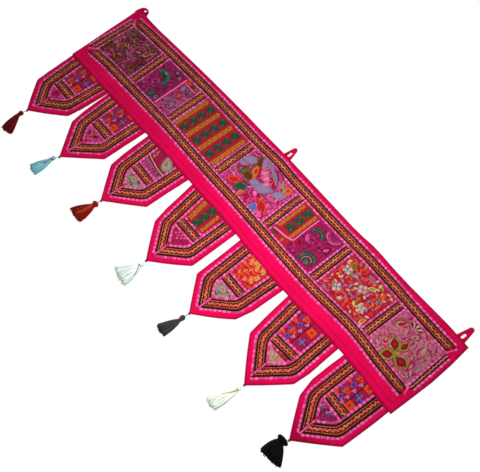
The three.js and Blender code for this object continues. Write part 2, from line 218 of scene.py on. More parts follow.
def cotton(name, colour, deep, weave=0.55 * MM):
    """Plain-woven cotton: weave, slubs, soft creases, and painted shade at seams, edges and folds, mixed
    towards the deep colour from a vertex attribute.
    """
    material, tree, shader = empty_material(name, 0.9, 0.03, (1.0, 0.2, 0.4, 1))
    place = node(tree, "TexCoord").outputs["Object"]
    warp = bands(tree, place, "X", weave, 0.4)
    weft = bands(tree, place, "Z", weave, 0.4)
    threads = sums(tree, "MULTIPLY", warp, weft)
    slubs = noise(tree, place, 900.0)
    faded = spread(tree, noise(tree, place, 16.0, 4.0), 0.3, 0.75)
    # The vertex attribute carries painted shade on the hemmed cloth and an even deeper tone on the loops; the
    # fading and slubs are random tone.
    pressed = node(tree, "Attribute", {"attribute_name": "pressed"}).outputs["Fac"]
    share = weighed(tree, (faded, 0.24), (pressed, 0.75), (spread(tree, slubs, 0.35, 0.8), 0.18))
    base = mixed(tree, sums(tree, "MINIMUM", share, 1.0), colour, deep)
    creases = noise(tree, place, 70.0, 5.0)
    height = weighed(tree, (threads, 0.35), (slubs, 0.3), (creases, 1.6))
    finish_material(tree, shader, base, height, 0.35 * MM)
    return material


def embroidered(name, colours, cell=3.0 * MM, rows=1.1 * MM):
    """A ground worked all over in close stitches, in patches of a few colours."""
    material, tree, shader = empty_material(name, 0.7, 0.06)
    place = node(tree, "TexCoord").outputs["Object"]
    swirl = node(tree, "TexNoise", None, Vector=place, Scale=55.0, Detail=2.0).outputs["Color"]
    moved = mixed(tree, 0.006, place, swirl, "ADD")
    cells = node(tree, "TexVoronoi", None, Vector=moved, Scale=1 / cell)
    pick = node(tree, "SeparateColor", None, Color=cells.outputs["Color"]).outputs[0]
    ramp = node(tree, "ValToRGB", None, Fac=pick)
    ramp.color_ramp.interpolation = "CONSTANT"
    total = sum(share for _, share in colours)
    at = 0.0
    for i, (colour, share) in enumerate(colours):
        stops = ramp.color_ramp.elements
        stop = stops[i] if i < 2 else stops.new(at)
        stop.position = at
        stop.color = DYES[colour]
        at += share / total
    if len(colours) == 1:
        ramp.color_ramp.elements[1].color = DYES[colours[0][0]]
    stitches = bands(tree, moved, "DIAGONAL", rows, 2.0)
    grain = noise(tree, place, 1400.0)
    shade = weighed(tree, (less(tree, stitches), 0.45), (spread(tree, grain, 0.4, 0.8), 0.18))
    base = mixed(tree, shade, ramp.outputs[0], GROUND_SHADOW)
    height = weighed(tree, (stitches, None), (grain, 0.4))
    finish_material(tree, shader, base, height, 0.4 * MM, 0.8)
    return material


def thread_work(name, ply=0.5 * MM, roughness=0.7, sheen=0.02):
    """Laid threads in the piece's own colours. They follow one another along its first UV direction."""
    material, tree, shader = empty_material(name, roughness, sheen)
    uv = node(tree, "UVMap", {"uv_map": "UVMap"}).outputs[0]
    place = node(tree, "TexCoord").outputs["Object"]
    colour = node(tree, "Attribute", {"attribute_name": "thread"}).outputs["Color"]
    strands = bands(tree, uv, "X", ply, 0.6)
    fluff = noise(tree, place, 1500.0)
    shade = weighed(tree, (less(tree, strands), 0.42), (spread(tree, fluff, 0.4, 0.8), 0.18))
    dark = mixed(tree, 0.82, colour, THREAD_SHADOW)
    base = mixed(tree, shade, colour, dark)
    height = weighed(tree, (strands, None), (fluff, 0.4))
    finish_material(tree, shader, base, height, 0.22 * MM, 0.8)
    return material


# Where the braid's colours begin and end, as shares across it.
BRAID_COLOURS = [
    (0.09, "dark"), (0.11, "maroon"), (0.27, "maroon"), (0.28, "dark"), (0.315, "dark"), (0.33, "brick"),
    (0.67, "brick"), (0.685, "dark"), (0.72, "dark"), (0.73, "maroon"), (0.89, "maroon"), (0.91, "dark"),
]
BRAID_PICK = 1.15 * MM
BRAID_FLOAT = 3.1 * MM
BRAID_WARP = 0.8 * MM
BRAID_ACROSS = 0.017


def braid_weave(name):
    """Woven braid: dark selvedges and a brick-red middle. UV runs across, then along in metres."""
    material, tree, shader = empty_material(name, 0.8, 0.02)
    uv = node(tree, "UVMap", {"uv_map": "UVMap"}).outputs[0]
    across = node(tree, "SeparateXYZ", None, Vector=uv).outputs[0]
    ramp = node(tree, "ValToRGB", None, Fac=across)
    ramp.color_ramp.interpolation = "LINEAR"
    stops = ramp.color_ramp.elements
    stops[0].position = 0.0
    stops[0].color = DYES["dark"]
    stops[1].position = 1.0
    stops[1].color = DYES["dark"]
    for at, colour in BRAID_COLOURS:
        stop = stops.new(at)
        stop.color = DYES[colour]
    picks = bands(tree, uv, "Y", BRAID_PICK, 0.3)
    floats = bands(tree, uv, "Y", BRAID_FLOAT, 0.5)
    grain = noise(tree, uv, 700.0)
    shade = weighed(tree, (less(tree, picks), 0.4), (floats, 0.15))
    base = mixed(tree, shade, ramp.outputs[0], DYES["dark"])
    ends = node(tree, "Mapping", None, Vector=uv, Scale=(BRAID_ACROSS, 1.0, 1.0)).outputs[0]
    warp = bands(tree, ends, "X", BRAID_WARP)
    height = weighed(tree, (picks, None), (weighed(tree, (warp, None), (grain, None)), None))
    finish_material(tree, shader, base, height, 0.2 * MM, 0.8)
    return material


def tassel_thread(name):
    """Soft cotton thread: each strand a little lighter or darker than the next."""
    material, tree, shader = empty_material(name, 0.8, 0.02)
    uv = node(tree, "UVMap", {"uv_map": "UVMap"}).outputs[0]
    own = node(tree, "Attribute", {"attribute_name": "thread"}).outputs["Color"]
    twist = bands(tree, uv, "DIAGONAL", 0.9 * MM, 0.5)
    place = node(tree, "TexCoord").outputs["Object"]
    fluff = noise(tree, place, 1200.0)
    dark = mixed(tree, 0.38, own, (0.0, 0.0, 0.0, 1))
    shade = weighed(tree, (less(tree, twist), 0.35), (spread(tree, fluff, 0.4, 0.8), 0.2))
    base = mixed(tree, shade, own, dark)
    finish_material(tree, shader, base, weighed(tree, (twist, None), (fluff, None)), 0.2 * MM)
    return material


PINK_COTTON = cotton("pink_cotton", DYES["hot_pink"], DYES["deep_pink"])
BRAID_WEAVE = braid_weave("braid_weave")
EMBROIDERY_THREAD = thread_work("embroidery_thread")
EDGING_THREAD = thread_work("edging_thread", 0.62 * MM, 0.7, 0.04)
TASSEL_THREAD = tassel_thread("tassel_thread")


# Making pieces

SEAM_ANGLE = math.radians(55)
DOUBLES = 0.01 * MM


def show(name, mesh, material, slot="pink_cloth", replaces=()):
    """Puts a finished mesh in the scene as a piece that rides on the valance."""
    made = bpy.data.objects.new(name, mesh)
    mesh.materials.append(material)
    bpy.context.scene.collection.objects.link(made)
    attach(made, "root")
    if replaces:
        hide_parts(*replaces)
    return made


def set_uv(mesh, uv):
    """One UV pair for each vertex."""
    layer = mesh.uv_layers.new(name="UVMap")
    corners = np.zeros(len(mesh.loops), np.int32)
    mesh.loops.foreach_get("vertex_index", corners)
    layer.data.foreach_set("uv", np.asarray(uv, np.float32)[corners].ravel())


def set_thread(mesh, colours):
    """One thread colour for each vertex."""
    layer = mesh.attributes.new("thread", "FLOAT_COLOR", "POINT")
    layer.data.foreach_set("color", np.asarray(colours, np.float32).ravel())


def set_shade_and_tone(mesh, pressed):
    """How far the cloth's colour is mixed towards its deep colour at each vertex: painted shade on the hemmed
    cloth, an even deeper tone on the loops.
    """
    layer = mesh.attributes.new("pressed", "FLOAT", "POINT")
    layer.data.foreach_set("value", np.asarray(pressed, np.float32))


def smooth(mesh):
    mesh.polygons.foreach_set("use_smooth", np.ones(len(mesh.polygons), bool))


def grid_sheet(columns, rows, place):
    """A sheet from a grid. place takes the shares across and down, and gives the points."""
    shape = bmesh.new()
    bmesh.ops.create_grid(shape, x_segments=columns, y_segments=rows, size=0.5)
    at = np.array([v.co for v in shape.verts])
    across = at[:, 0] + 0.5
    down = 0.5 - at[:, 1]
    for vertex, point in zip(shape.verts, place(across, down)):
        vertex.co = point
    shape.normal_update()
    if sum(face.normal.y * face.calc_area() for face in shape.faces) > 0:
        bmesh.ops.reverse_faces(shape, faces=shape.faces)
    mesh = bpy.data.meshes.new("sheet")
    shape.to_mesh(mesh)
    shape.free()
    smooth(mesh)
    return mesh


def thicken(piece, thick, soft=0.0, steps=2):
    """Gives a sheet its thickness, behind its front, and softens its rim."""
    wall = piece.modifiers.new("thickness", "SOLIDIFY")
    wall.thickness = thick
    wall.offset = -1
    wall.use_even_offset = True
    if soft:
        rim = piece.modifiers.new("rim", "BEVEL")
        rim.width = soft
        rim.segments = steps
        rim.limit_method = "ANGLE"
        rim.angle_limit = SEAM_ANGLE


def front_of(name):
    """The side of a CAD sheet that faces -Y, as a merged copy."""
    shape = bmesh.new()
    shape.from_mesh(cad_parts[name].data)
    bmesh.ops.remove_doubles(shape, verts=shape.verts, dist=DOUBLES)
    shape.normal_update()
    behind = [face for face in shape.faces if face.normal.y > -0.5]
    bmesh.ops.delete(shape, geom=behind, context="FACES")
    return shape


def rims(shape):
    """The closed lines round a sheet, longest first. Each starts at its foot and runs the same way round."""
    left = dict.fromkeys(edge for edge in shape.edges if edge.is_boundary)
    lines = []
    while left:
        edge = next(iter(left))
        del left[edge]
        first, here = edge.verts
        line = [first.co.copy(), here.co.copy()]
        while here is not first:
            edge = next(e for e in here.link_edges if e in left)
            del left[edge]
            here = edge.other_vert(here)
            line.append(here.co.copy())
        line = np.array(line[:-1])
        after = np.roll(line, -1, axis=0)
        if np.sum(line[:, 0] * after[:, 2] - after[:, 0] * line[:, 2]) < 0:
            line = line[::-1]
        lines.append(np.roll(line, -int(line[:, 2].argmin()), axis=0))
    return sorted(lines, key=len, reverse=True)


class Surface:
    """The front of a laid cloth. It gives points on it, or a little off it."""

    def __init__(self, points, faces):
        self.tree = BVHTree.FromPolygons([Vector(p) for p in points], faces)
        self.middle = float(np.mean(np.asarray(points)[:, 1]))

    def depth(self, x, z):
        hit = self.tree.ray_cast(Vector((x, -1, z)), Vector((0, 1, 0)))[0]
        if hit is None:
            hit = self.tree.find_nearest(Vector((x, self.middle, z)))[0]
        return hit.y

    def lay(self, flat, off=0.0):
        """Points over the cloth from their x and z, off in front of it."""
        flat = np.asarray(flat, float)
        depth = np.array([self.depth(x, z) for x, z in flat])
        return np.column_stack((flat[:, 0], depth - off, flat[:, 1]))


def cad_surface(name):
    """The front of a CAD sheet as a surface, and its outline as x and z."""
    shape = front_of(name)
    shape.verts.index_update()
    points = [vertex.co.copy() for vertex in shape.verts]
    faces = [[vertex.index for vertex in face.verts] for face in shape.faces]
    outline = rims(shape)[0]
    shape.free()
    return Surface(points, faces), outline[:, [0, 2]]


def mesh_surface(mesh):
    """A sheet's mesh as a surface."""
    points = [vertex.co.copy() for vertex in mesh.vertices]
    return Surface(points, [list(face.vertices) for face in mesh.polygons])


# Lines on the flat pattern, as arrays of x and z

CHART_MIDDLE = 3.5
CHART_HEAD = 0.04
OVERRUN = 30 * MM
RIPPLES = (0.61, 0.83, 1.0, 1.37, 2.1)


def chart(u, v):
    """A place from the working chart: u counts flaps from the left end, v the same lengths down."""
    return (u - CHART_MIDDLE) * PITCH, -(v + CHART_HEAD) * PITCH


def lengths(line):
    """The distance of each point of a line from its start."""
    steps = np.hypot(*np.diff(line, axis=0).T)
    return np.concatenate(([0.0], np.cumsum(steps)))


def along(line, at):
    """Points at distances along a line."""
    run = lengths(line)
    return np.column_stack((np.interp(at, run, line[:, 0]), np.interp(at, run, line[:, 1])))


def edge_x(line):
    """The x of an upright edge at any height."""
    return lambda z: np.interp(-z, -line[:, 1], line[:, 0])


def edge_z(line):
    """The height of a level edge at any x."""
    return lambda x: np.interp(x, line[:, 0], line[:, 1])


def edge_distance(points, outline):
    """How far each point is from a closed outline, and how far round it the nearest place is."""
    start = outline
    end = np.roll(outline, -1, axis=0)
    step = end - start
    size = np.einsum("ij,ij->i", step, step)
    run = np.concatenate(([0.0], np.cumsum(np.sqrt(size))))[:-1]
    away = points[:, None, :] - start[None, :, :]
    share = np.clip(np.einsum("ijk,jk->ij", away, step) / size, 0, 1)
    nearest = start[None] + share[..., None] * step[None]
    distance = np.hypot(*np.moveaxis(points[:, None, :] - nearest, 2, 0))
    best = distance.argmin(axis=1)
    rows = np.arange(len(points))
    return distance[rows, best], run[best] + share[rows, best] * np.sqrt(size)[best]


def ripple(at, length, seed):
    """A soft unevenness along a line, the same at each run, from about -1 to 1."""
    draw = np.random.default_rng(seed)
    total = np.zeros_like(at)
    for ratio in RIPPLES:
        total = total + np.sin(2 * math.pi * at / (length * ratio) + draw.uniform(0, 2 * math.pi))
    return total / 2.6


def corner(outline, x_sign, z_sign):
    """The outline's corner that lies furthest that way."""
    return int(np.argmax(outline[:, 0] * x_sign + outline[:, 1] * z_sign))


def part_of(outline, first, last):
    """The outline's points from one corner to the next, the shorter way."""
    count = len(outline)
    forward = [(first + i) % count for i in range((last - first) % count + 1)]
    backward = [(first - i) % count for i in range((first - last) % count + 1)]
    return outline[forward if len(forward) <= len(backward) else backward]


def overrun(edge):
    """A line carried on straight past both its ends."""
    head = edge[0] + (edge[0] - edge[1]) / np.hypot(*(edge[0] - edge[1])) * OVERRUN
    foot = edge[-1] + (edge[-1] - edge[-2]) / np.hypot(*(edge[-1] - edge[-2])) * OVERRUN
    return np.vstack((head, edge, foot))


class Strip:
    """A braid's two long edges, and places between and beside them."""

    def __init__(self, name, runs_down):
        shape = front_of(name)
        ring = rims(shape)[0][:, [0, 2]]
        shape.free()
        count = len(ring)
        key = -ring[:, 1] if runs_down else ring[:, 0]
        ends = key + np.roll(key, -1)
        start = int(ends.argmin())
        half = count // 2
        one = ring[[(start - i) % count for i in range(half)]]
        other = ring[[(start + 1 + i) % count for i in range(half)]]
        leads = one[0, 0] > other[0, 0] if runs_down else one[0, 1] < other[0, 1]
        if leads:
            one, other = other, one
        self.first = one
        self.second = other
        middle = (one + other) / 2
        self.run = lengths(middle)
        self.length = float(self.run[-1])
        self.far_run = np.concatenate(([-OVERRUN], self.run, [self.length + OVERRUN]))
        self.far_edges = [overrun(edge) for edge in (one, other)]
        self.width = float(np.median(np.hypot(*(one - other).T)))

    def at(self, across, run):
        """Places at a share across, from 0 to 1 or beyond, and at distances along."""
        one, two = (np.column_stack([np.interp(run, self.far_run, edge[:, i]) for i in (0, 1)])
                    for edge in self.far_edges)
        share = np.reshape(across, (-1, 1)) if np.ndim(across) else across
        return one * (1 - share) + two * share

    def beside(self, gap, second=False, over=0.0, steps=80):
        """A line beside one edge, that gap outside it, and over longer at both ends."""
        across = 1 + gap / self.width if second else -gap / self.width
        return self.at(across, np.linspace(-over, self.length + over, steps))


# Repeated small shapes

PUFF_ROUNDNESS = 0.7
PUFF_CUT = -0.05


def template(shape):
    """A small bmesh shape as arrays, to be repeated."""
    bmesh.ops.triangulate(shape, faces=shape.faces)
    shape.verts.index_update()
    points = np.array([v.co for v in shape.verts])
    faces = np.array([[v.index for v in face.verts] for face in shape.faces])
    shape.free()
    return points, faces


def puff():
    """One close bundle of edging stitches: a low pillow with its underside open."""
    shape = bmesh.new()
    bmesh.ops.create_uvsphere(shape, u_segments=10, v_segments=6, radius=1.0)
    for vertex in shape.verts:
        x, y, z = vertex.co
        vertex.co = (
            math.copysign(abs(x) ** PUFF_ROUNDNESS, x), math.copysign(abs(y) ** PUFF_ROUNDNESS, y), z)
    geometry = shape.verts[:] + shape.edges[:] + shape.faces[:]
    bmesh.ops.bisect_plane(
        shape, geom=geometry, plane_co=(0, 0, PUFF_CUT), plane_no=(0, 0, -1), clear_outer=True)
    return template(shape)


def raised(outline, crown=0.35, inset=0.1):
    """A satin-stitched shape: its outline, a soft shoulder and a low crown."""
    shape = bmesh.new()
    face = shape.faces.new([shape.verts.new((x, y, 0)) for x, y in outline])
    shape.normal_update()
    if face.normal.z < 0:
        face.normal_flip()
    bmesh.ops.inset_region(shape, faces=[face], thickness=inset, use_even_offset=True)
    for vertex in face.verts:
        vertex.co.z = 1.0
    bmesh.ops.poke(shape, faces=[face], offset=crown)
    return template(shape)


def seed_stitch():
    """One small loose stitch."""
    shape = bmesh.new()
    bmesh.ops.create_uvsphere(shape, u_segments=6, v_segments=4, radius=0.5)
    return template(shape)


def curve_outline(count, place):
    """An outline from a function of the angle round it."""
    return [place(2 * math.pi * i / count) for i in range(count)]


def leaf_point(angle):
    return (0.5 * math.sin(angle) ** 3 * 0.9 + 0.12 * math.sin(angle), 0.5 * math.cos(angle))


def paisley_point(angle):
    taper = 0.5 + 0.5 * math.cos(angle)
    wide = 0.42 * math.sin(angle) * (1 - 0.82 * taper ** 1.5)
    return (wide + 0.34 * taper ** 3, 0.5 * math.cos(angle))


def circle_point(angle):
    return (0.5 * math.cos(angle), 0.5 * math.sin(angle))


def crescent_outline():
    outer = [circle_point(a) for a in np.linspace(-0.15, math.pi + 0.15, 11)]
    inner = [(0.3 * math.cos(a), 0.12 + 0.3 * math.sin(a)) for a in np.linspace(math.pi + 0.1, -0.1, 9)]
    return outer + inner


def steps_outline():
    """A cross with stepped corners, from the steps of its first quarter."""
    quarter = [(0.5, 0.09), (0.37, 0.09), (0.37, 0.22), (0.24, 0.22), (0.24, 0.36), (0.1, 0.36), (0.1, 0.5)]
    half = quarter + [(-x, y) for x, y in reversed(quarter)]
    return half + [(-x, -y) for x, y in half]


SHAPES = {
    "dot": raised(curve_outline(10, circle_point)),
    "leaf": raised(curve_outline(14, leaf_point), 0.3, 0.06),
    "paisley": raised(curve_outline(16, paisley_point), 0.3, 0.05),
    "diamond": raised([(0.5, 0), (0, 0.5), (-0.5, 0), (0, -0.5)]),
    "square": raised([(0.5, 0.5), (-0.5, 0.5), (-0.5, -0.5), (0.5, -0.5)]),
    "triangle": raised([(0, 0.5), (-0.5, -0.5), (0.5, -0.5)]),
    "steps": raised(steps_outline(), 0.2, 0.03),
    "crescent": raised(crescent_outline(), 0.0, 0.03),
}
PUFF = puff()
SEED = seed_stitch()


def joined(name, parts, material, slot):
    """One mesh from many small ones: each part is its points, its faces, its UV and its colour."""
    points = []
    faces = []
    pairs = []
    colours = []
    base = 0
    for part_points, part_faces, part_uv, colour in parts:
        points.append(part_points)
        faces.append(part_faces + base)
        pairs.append(part_uv)
        colours.append(np.broadcast_to(np.asarray(colour, float), (len(part_points), 4)))
        base += len(part_points)
    mesh = bpy.data.meshes.new(name)
    mesh.from_pydata(np.concatenate(points).tolist(), [], np.concatenate(faces).tolist())
    set_uv(mesh, np.concatenate(pairs))
    set_thread(mesh, np.concatenate(colours))
    smooth(mesh)
    return show(name, mesh, material, slot)


def stamped(shape, surface, x, z, wide, high, turn, rise, colour, off=0.0):
    """One raised shape laid on the cloth, turned by degrees, with its height towards the front."""
    points, faces = shape
    angle = math.radians(turn)
    local_x = points[:, 0] * wide
    local_z = points[:, 1] * high
    flat = np.column_stack((x + local_x * math.cos(angle) - local_z * math.sin(angle),
                            z + local_x * math.sin(angle) + local_z * math.cos(angle)))
    laid = surface.lay(flat, off)
    laid[:, 1] -= points[:, 2] * rise
    return laid, faces, np.column_stack((local_x, local_z)), colour


def tube(path, radius, sides, colour, flat=1.0, cross=(0, 1, 0)):
    """A round thread along a path. flat presses it towards its first cross direction."""
    path = np.asarray(path, float)
    count = len(path)
    tangent = np.gradient(path, axis=0)
    tangent /= np.maximum(np.linalg.norm(tangent, axis=1, keepdims=True), 1e-9)
    side = np.cross(tangent, np.asarray(cross, float))
    side /= np.maximum(np.linalg.norm(side, axis=1, keepdims=True), 1e-9)
    rise = np.cross(side, tangent)
    angles = np.arange(sides) * 2 * math.pi / sides
    radius = np.broadcast_to(np.asarray(radius, float), (count,))[:, None, None]
    ring = side[:, None] * np.cos(angles)[:, None] + rise[:, None] * np.sin(angles)[:, None] * flat
    points = (path[:, None] + ring * radius).reshape(-1, 3)
    run = np.concatenate(([0.0], np.cumsum(np.linalg.norm(np.diff(path, axis=0), axis=1))))
    uv = np.column_stack((np.repeat(run, sides), np.tile(angles * 0.3 * MM, count)))
    rows = np.arange(count - 1)[:, None] * sides
    here = np.arange(sides)[None]
    there = (here + 1) % sides
    low = np.stack((rows + here, rows + there, rows + sides + there), axis=2).reshape(-1, 3)
    high = np.stack((rows + here, rows + sides + there, rows + sides + here), axis=2).reshape(-1, 3)
    last = (count - 1) * sides
    fan = [(0, i + 1, i) for i in range(1, sides - 1)]
    fan += [(last, last + i, last + i + 1) for i in range(1, sides - 1)]
    return points, np.concatenate((low[:, ::-1], high[:, ::-1], np.array(fan)[:, ::-1])), uv, colour


# Cloth: the header and the flaps, with their turned hems

CLOTH_THICK = 2.2 * MM
BORDER = 13 * MM
HEM_PUFF = 0.9 * MM
PUCKER = 0.4 * MM
PUCKER_PITCH = 8 * MM
EDGE_ROLL = 0.5 * MM
SEAM_REACH = 1.6 * MM
# How far in from the rim the rolled edge's painted shade reaches.
EDGE_SHADE_REACH = 3.2 * MM
CREASE_REACH = 26 * MM
CLOTH_RIM = 0.7 * MM

# Soft creases: where each lies, its slant, half length, half width and height.
HEADER_CREASES = [
    (-455, -176, 8, 40, 5, 0.9), (-380, -168, -5, 46, 4, 0.6), (-300, -179, 4, 60, 5, 0.7),
    (-205, -171, -7, 38, 4, 0.8), (-120, -178, 3, 55, 5, 0.7), (-35, -168, -4, 48, 4, 0.7),
    (60, -176, 6, 50, 5, 0.8), (150, -170, -3, 58, 4, 0.6), (240, -178, 5, 42, 5, 0.8),
    (330, -168, -6, 40, 4, 0.9), (405, -176, 4, 48, 5, 0.7), (470, -170, 12, 30, 5, 1.0),
    (-497, -120, 82, 35, 4, 0.8), (504, -95, -84, 42, 4, 0.8), (-250, -9, 3, 60, 4, 0.6),
    (20, -8, -6, 34, 4, 0.9), (262, -8, 4, 40, 4, 0.8), (400, -12, -3, 50, 4, 0.6),
]
FLAP_CREASES = [
    (-54, -40, 84, 26, 4, 0.7), (56, -62, -80, 22, 4, 0.8), (-34, -122, -45, 26, 4, 0.8),
    (30, -126, 42, 24, 4, 0.7), (-60, -80, 70, 14, 3, 0.6), (0, -158, 5, 12, 4, 0.8),
]


def crease_height(flat, creases, x0=0.0, z0=0.0):
    """How far the creases stand out, for places on the cloth."""
    total = np.zeros(len(flat))
    for x, z, slant, long, wide, high in creases:
        angle = math.radians(slant)
        dx = flat[:, 0] - x0 - x * MM
        dz = flat[:, 1] - z0 - z * MM
        run = (dx * math.cos(angle) + dz * math.sin(angle)) / (long * MM)
        off = (dz * math.cos(angle) - dx * math.sin(angle)) / (wide * MM)
        total += high * MM * np.exp(-run ** 2 - off ** 2)
    return total


# Painted shade: places where the cloth is coloured darker for the shade that falls on it there: x and z, the
# reach across and down, and how much darker.
PAINTED_SHADE_PLACES = [
    (0.43, -0.356, 0.095, 0.036, 1.0),
    (0.25, -0.004, 0.36, 0.016, 0.34),
    (-0.3, -0.004, 0.3, 0.012, 0.12),
    (0.512, -0.1, 0.02, 0.12, 0.35),
]


def hemmed(flat, outline, creases, seed, x0=0.0, z0=0.0):
    """How far the cloth stands forward of its plane, and how much painted shade darkens it, for places on it.
    """
    distance, run = edge_distance(flat, outline)
    share = np.clip(distance / BORDER, 0, 1)
    swell = np.sin(math.pi * share) ** 0.8
    gather = ripple(run, PUCKER_PITCH, seed) * np.sin(math.pi * share ** 0.7)
    # Painted shade in the groove along the hem's seam line.
    inner = np.exp(-((distance - BORDER) / SEAM_REACH) ** 2)
    rolled = np.clip(1 - distance / SEAM_REACH, 0, 1) ** 2
    loose = np.clip(1 - distance / CREASE_REACH, 0, 1)
    rise = HEM_PUFF * swell + PUCKER * gather - EDGE_ROLL * rolled
    rise += crease_height(flat, creases, x0, z0) * np.maximum(loose, 0.35)
    # Painted shade on the rolled edge and at the listed shaded places; the puckers' raised parts get less of
    # it.
    edge = np.clip(1 - distance / EDGE_SHADE_REACH, 0, 1)
    deep = sum(dark * np.exp(-((flat[:, 0] - x) / wide) ** 2 - ((flat[:, 1] - z) / high) ** 2)
               for x, z, wide, high, dark in PAINTED_SHADE_PLACES)
    pressed = np.clip(0.5 * inner + 0.9 * edge + deep - 0.2 * gather, 0, 1)
    return rise, pressed


def dress_cloth(name, columns, rows, flat_place, surface, outline, creases, seed, x0=0.0, z0=0.0):
    """A cloth sheet over a CAD sheet, hemmed and creased, and its front as a surface."""
    found = {}

    def place(across, down):
        flat = flat_place(across, down)
        rise, pressed = hemmed(flat, outline, creases, seed, x0, z0)
        found["pressed"] = pressed
        return surface.lay(flat, rise)

    mesh = grid_sheet(columns, rows, place)
    set_shade_and_tone(mesh, found["pressed"])
    front = mesh_surface(mesh)
    cloth = show(name + "_cloth", mesh, PINK_COTTON, replaces=[name])
    thicken(cloth, CLOTH_THICK, CLOTH_RIM)
    return cloth, front


HEADER_GRID = (370, 70)
FLAP_GRID = (46, 60)
ROW_REACH = 0.02 * MM

header_plane, header_outline = cad_surface("header")
corners = [corner(header_outline, *signs) for signs in ((-1, 1), (1, 1), (1, -1), (-1, -1))]
top_line = part_of(header_outline, corners[0], corners[1])
foot_line = part_of(header_outline, corners[3], corners[2])
left_line = part_of(header_outline, corners[0], corners[3])
right_line = part_of(header_outline, corners[1], corners[2])


def header_place(across, down):
    """A place on the header from its shares across and down."""
    left = np.interp(down, np.linspace(0, 1, len(left_line)), left_line[:, 0])
    right = np.interp(down, np.linspace(0, 1, len(right_line)), right_line[:, 0])
    x = left + (right - left) * across
    top = np.interp(x, top_line[:, 0], top_line[:, 1])
    foot = np.interp(x, foot_line[:, 0], foot_line[:, 1])
    return np.column_stack((x, top + (foot - top) * down))


header_cloth, header_front = dress_cloth(
    "header", *HEADER_GRID, header_place, header_plane, header_outline, HEADER_CREASES, 11)


class Flap:
    """One flap: its outline by drops, its dressed cloth, and the lines of its braids."""

    def __init__(self, number):
        self.number = number
        name = f"flap_{number}"
        plane, outline = cad_surface(name)
        self.rows = np.array(sorted({round(z, 5) for z in outline[:, 1]}, reverse=True))
        at_row = [outline[np.abs(outline[:, 1] - z) < ROW_REACH, 0] for z in self.rows]
        self.left = np.array([xs.min() for xs in at_row])
        self.right = np.array([xs.max() for xs in at_row])
        self.middle = (number - 4) * PITCH
        self.tip = ((self.left[-1] + self.right[-1]) / 2, self.rows[-1])
        top_middle = (self.middle, self.rows[0])
        self.cloth, self.front = dress_cloth(
            name, *FLAP_GRID, self.place, plane, outline, FLAP_CREASES, 20 + number, *top_middle)
        self.sides = [Strip(f"braid_{number}_left", True), Strip(f"braid_{number}_right", True)]
        self.cross = Strip(f"cross_{number}", False)
        self.tip_depth = self.front.depth(self.tip[0], self.tip[1] + 1 * MM) + CLOTH_THICK / 2

    def place(self, across, down):
        z = self.rows[0] + (self.rows[-1] - self.rows[0]) * down
        left = np.interp(-z, -self.rows, self.left)
        right = np.interp(-z, -self.rows, self.right)
        return np.column_stack((left + (right - left) * across, z))

    def inner(self, z, gap):
        """The x of both inner braid edges at a height, moved in by a gap."""
        left = self.sides[0].second
        right = self.sides[1].first
        return edge_x(left)(z) + gap, edge_x(right)(z) - gap


flaps = [Flap(number) for number in FLAPS]


# Braids: woven ribbons, each with a raised zigzag cord, two gold cords and four dark ones

BRAID_RISE = 1.0 * MM
ZIGZAG_PERIOD = 9.0 * MM
ZIGZAG_REACH = 2.1 * MM
BEAD_PERIOD = 4.4 * MM
SQUARE_ENDS = ((0, 0), (0, 0))
RIBBON_COLUMNS = 6
RIBBON_STEP = 2.2 * MM
RIBBON_CROWN = 0.25 * MM
RIBBON_THICK = 0.9 * MM
RIBBON_RIM = 0.25 * MM
ZIGZAG_POINTS = 10
ZIGZAG_HALF = 1.2 * MM
ZIGZAG_SIDES = 6
ZIGZAG_LIMIT = 0.14
GOLD_ACROSS = (0.2, 0.8)
GOLD_SIDES = 5
GOLD_BEAD = 1.15
GOLD_WAIST = 0.6
FULL_WIDTH = 15 * MM
# The dark cords: shares across the braid, and half widths. The first two are the selvedges.
DARK_CORDS = ((0.055, 1.5), (0.945, 1.5), (0.315, 1.05), (0.685, 1.05))
DARK_STEP = 2.4 * MM
DARK_SIDES = 4


def worn(count, seed, low, high):
    """A number for each point of a cord, which drifts as tone and thickness do on worn thread."""
    draw = np.random.default_rng(seed)
    knots = draw.uniform(low, high, max(3, count // 5))
    return np.interp(np.linspace(0, 1, count), np.linspace(0, 1, len(knots)), knots)


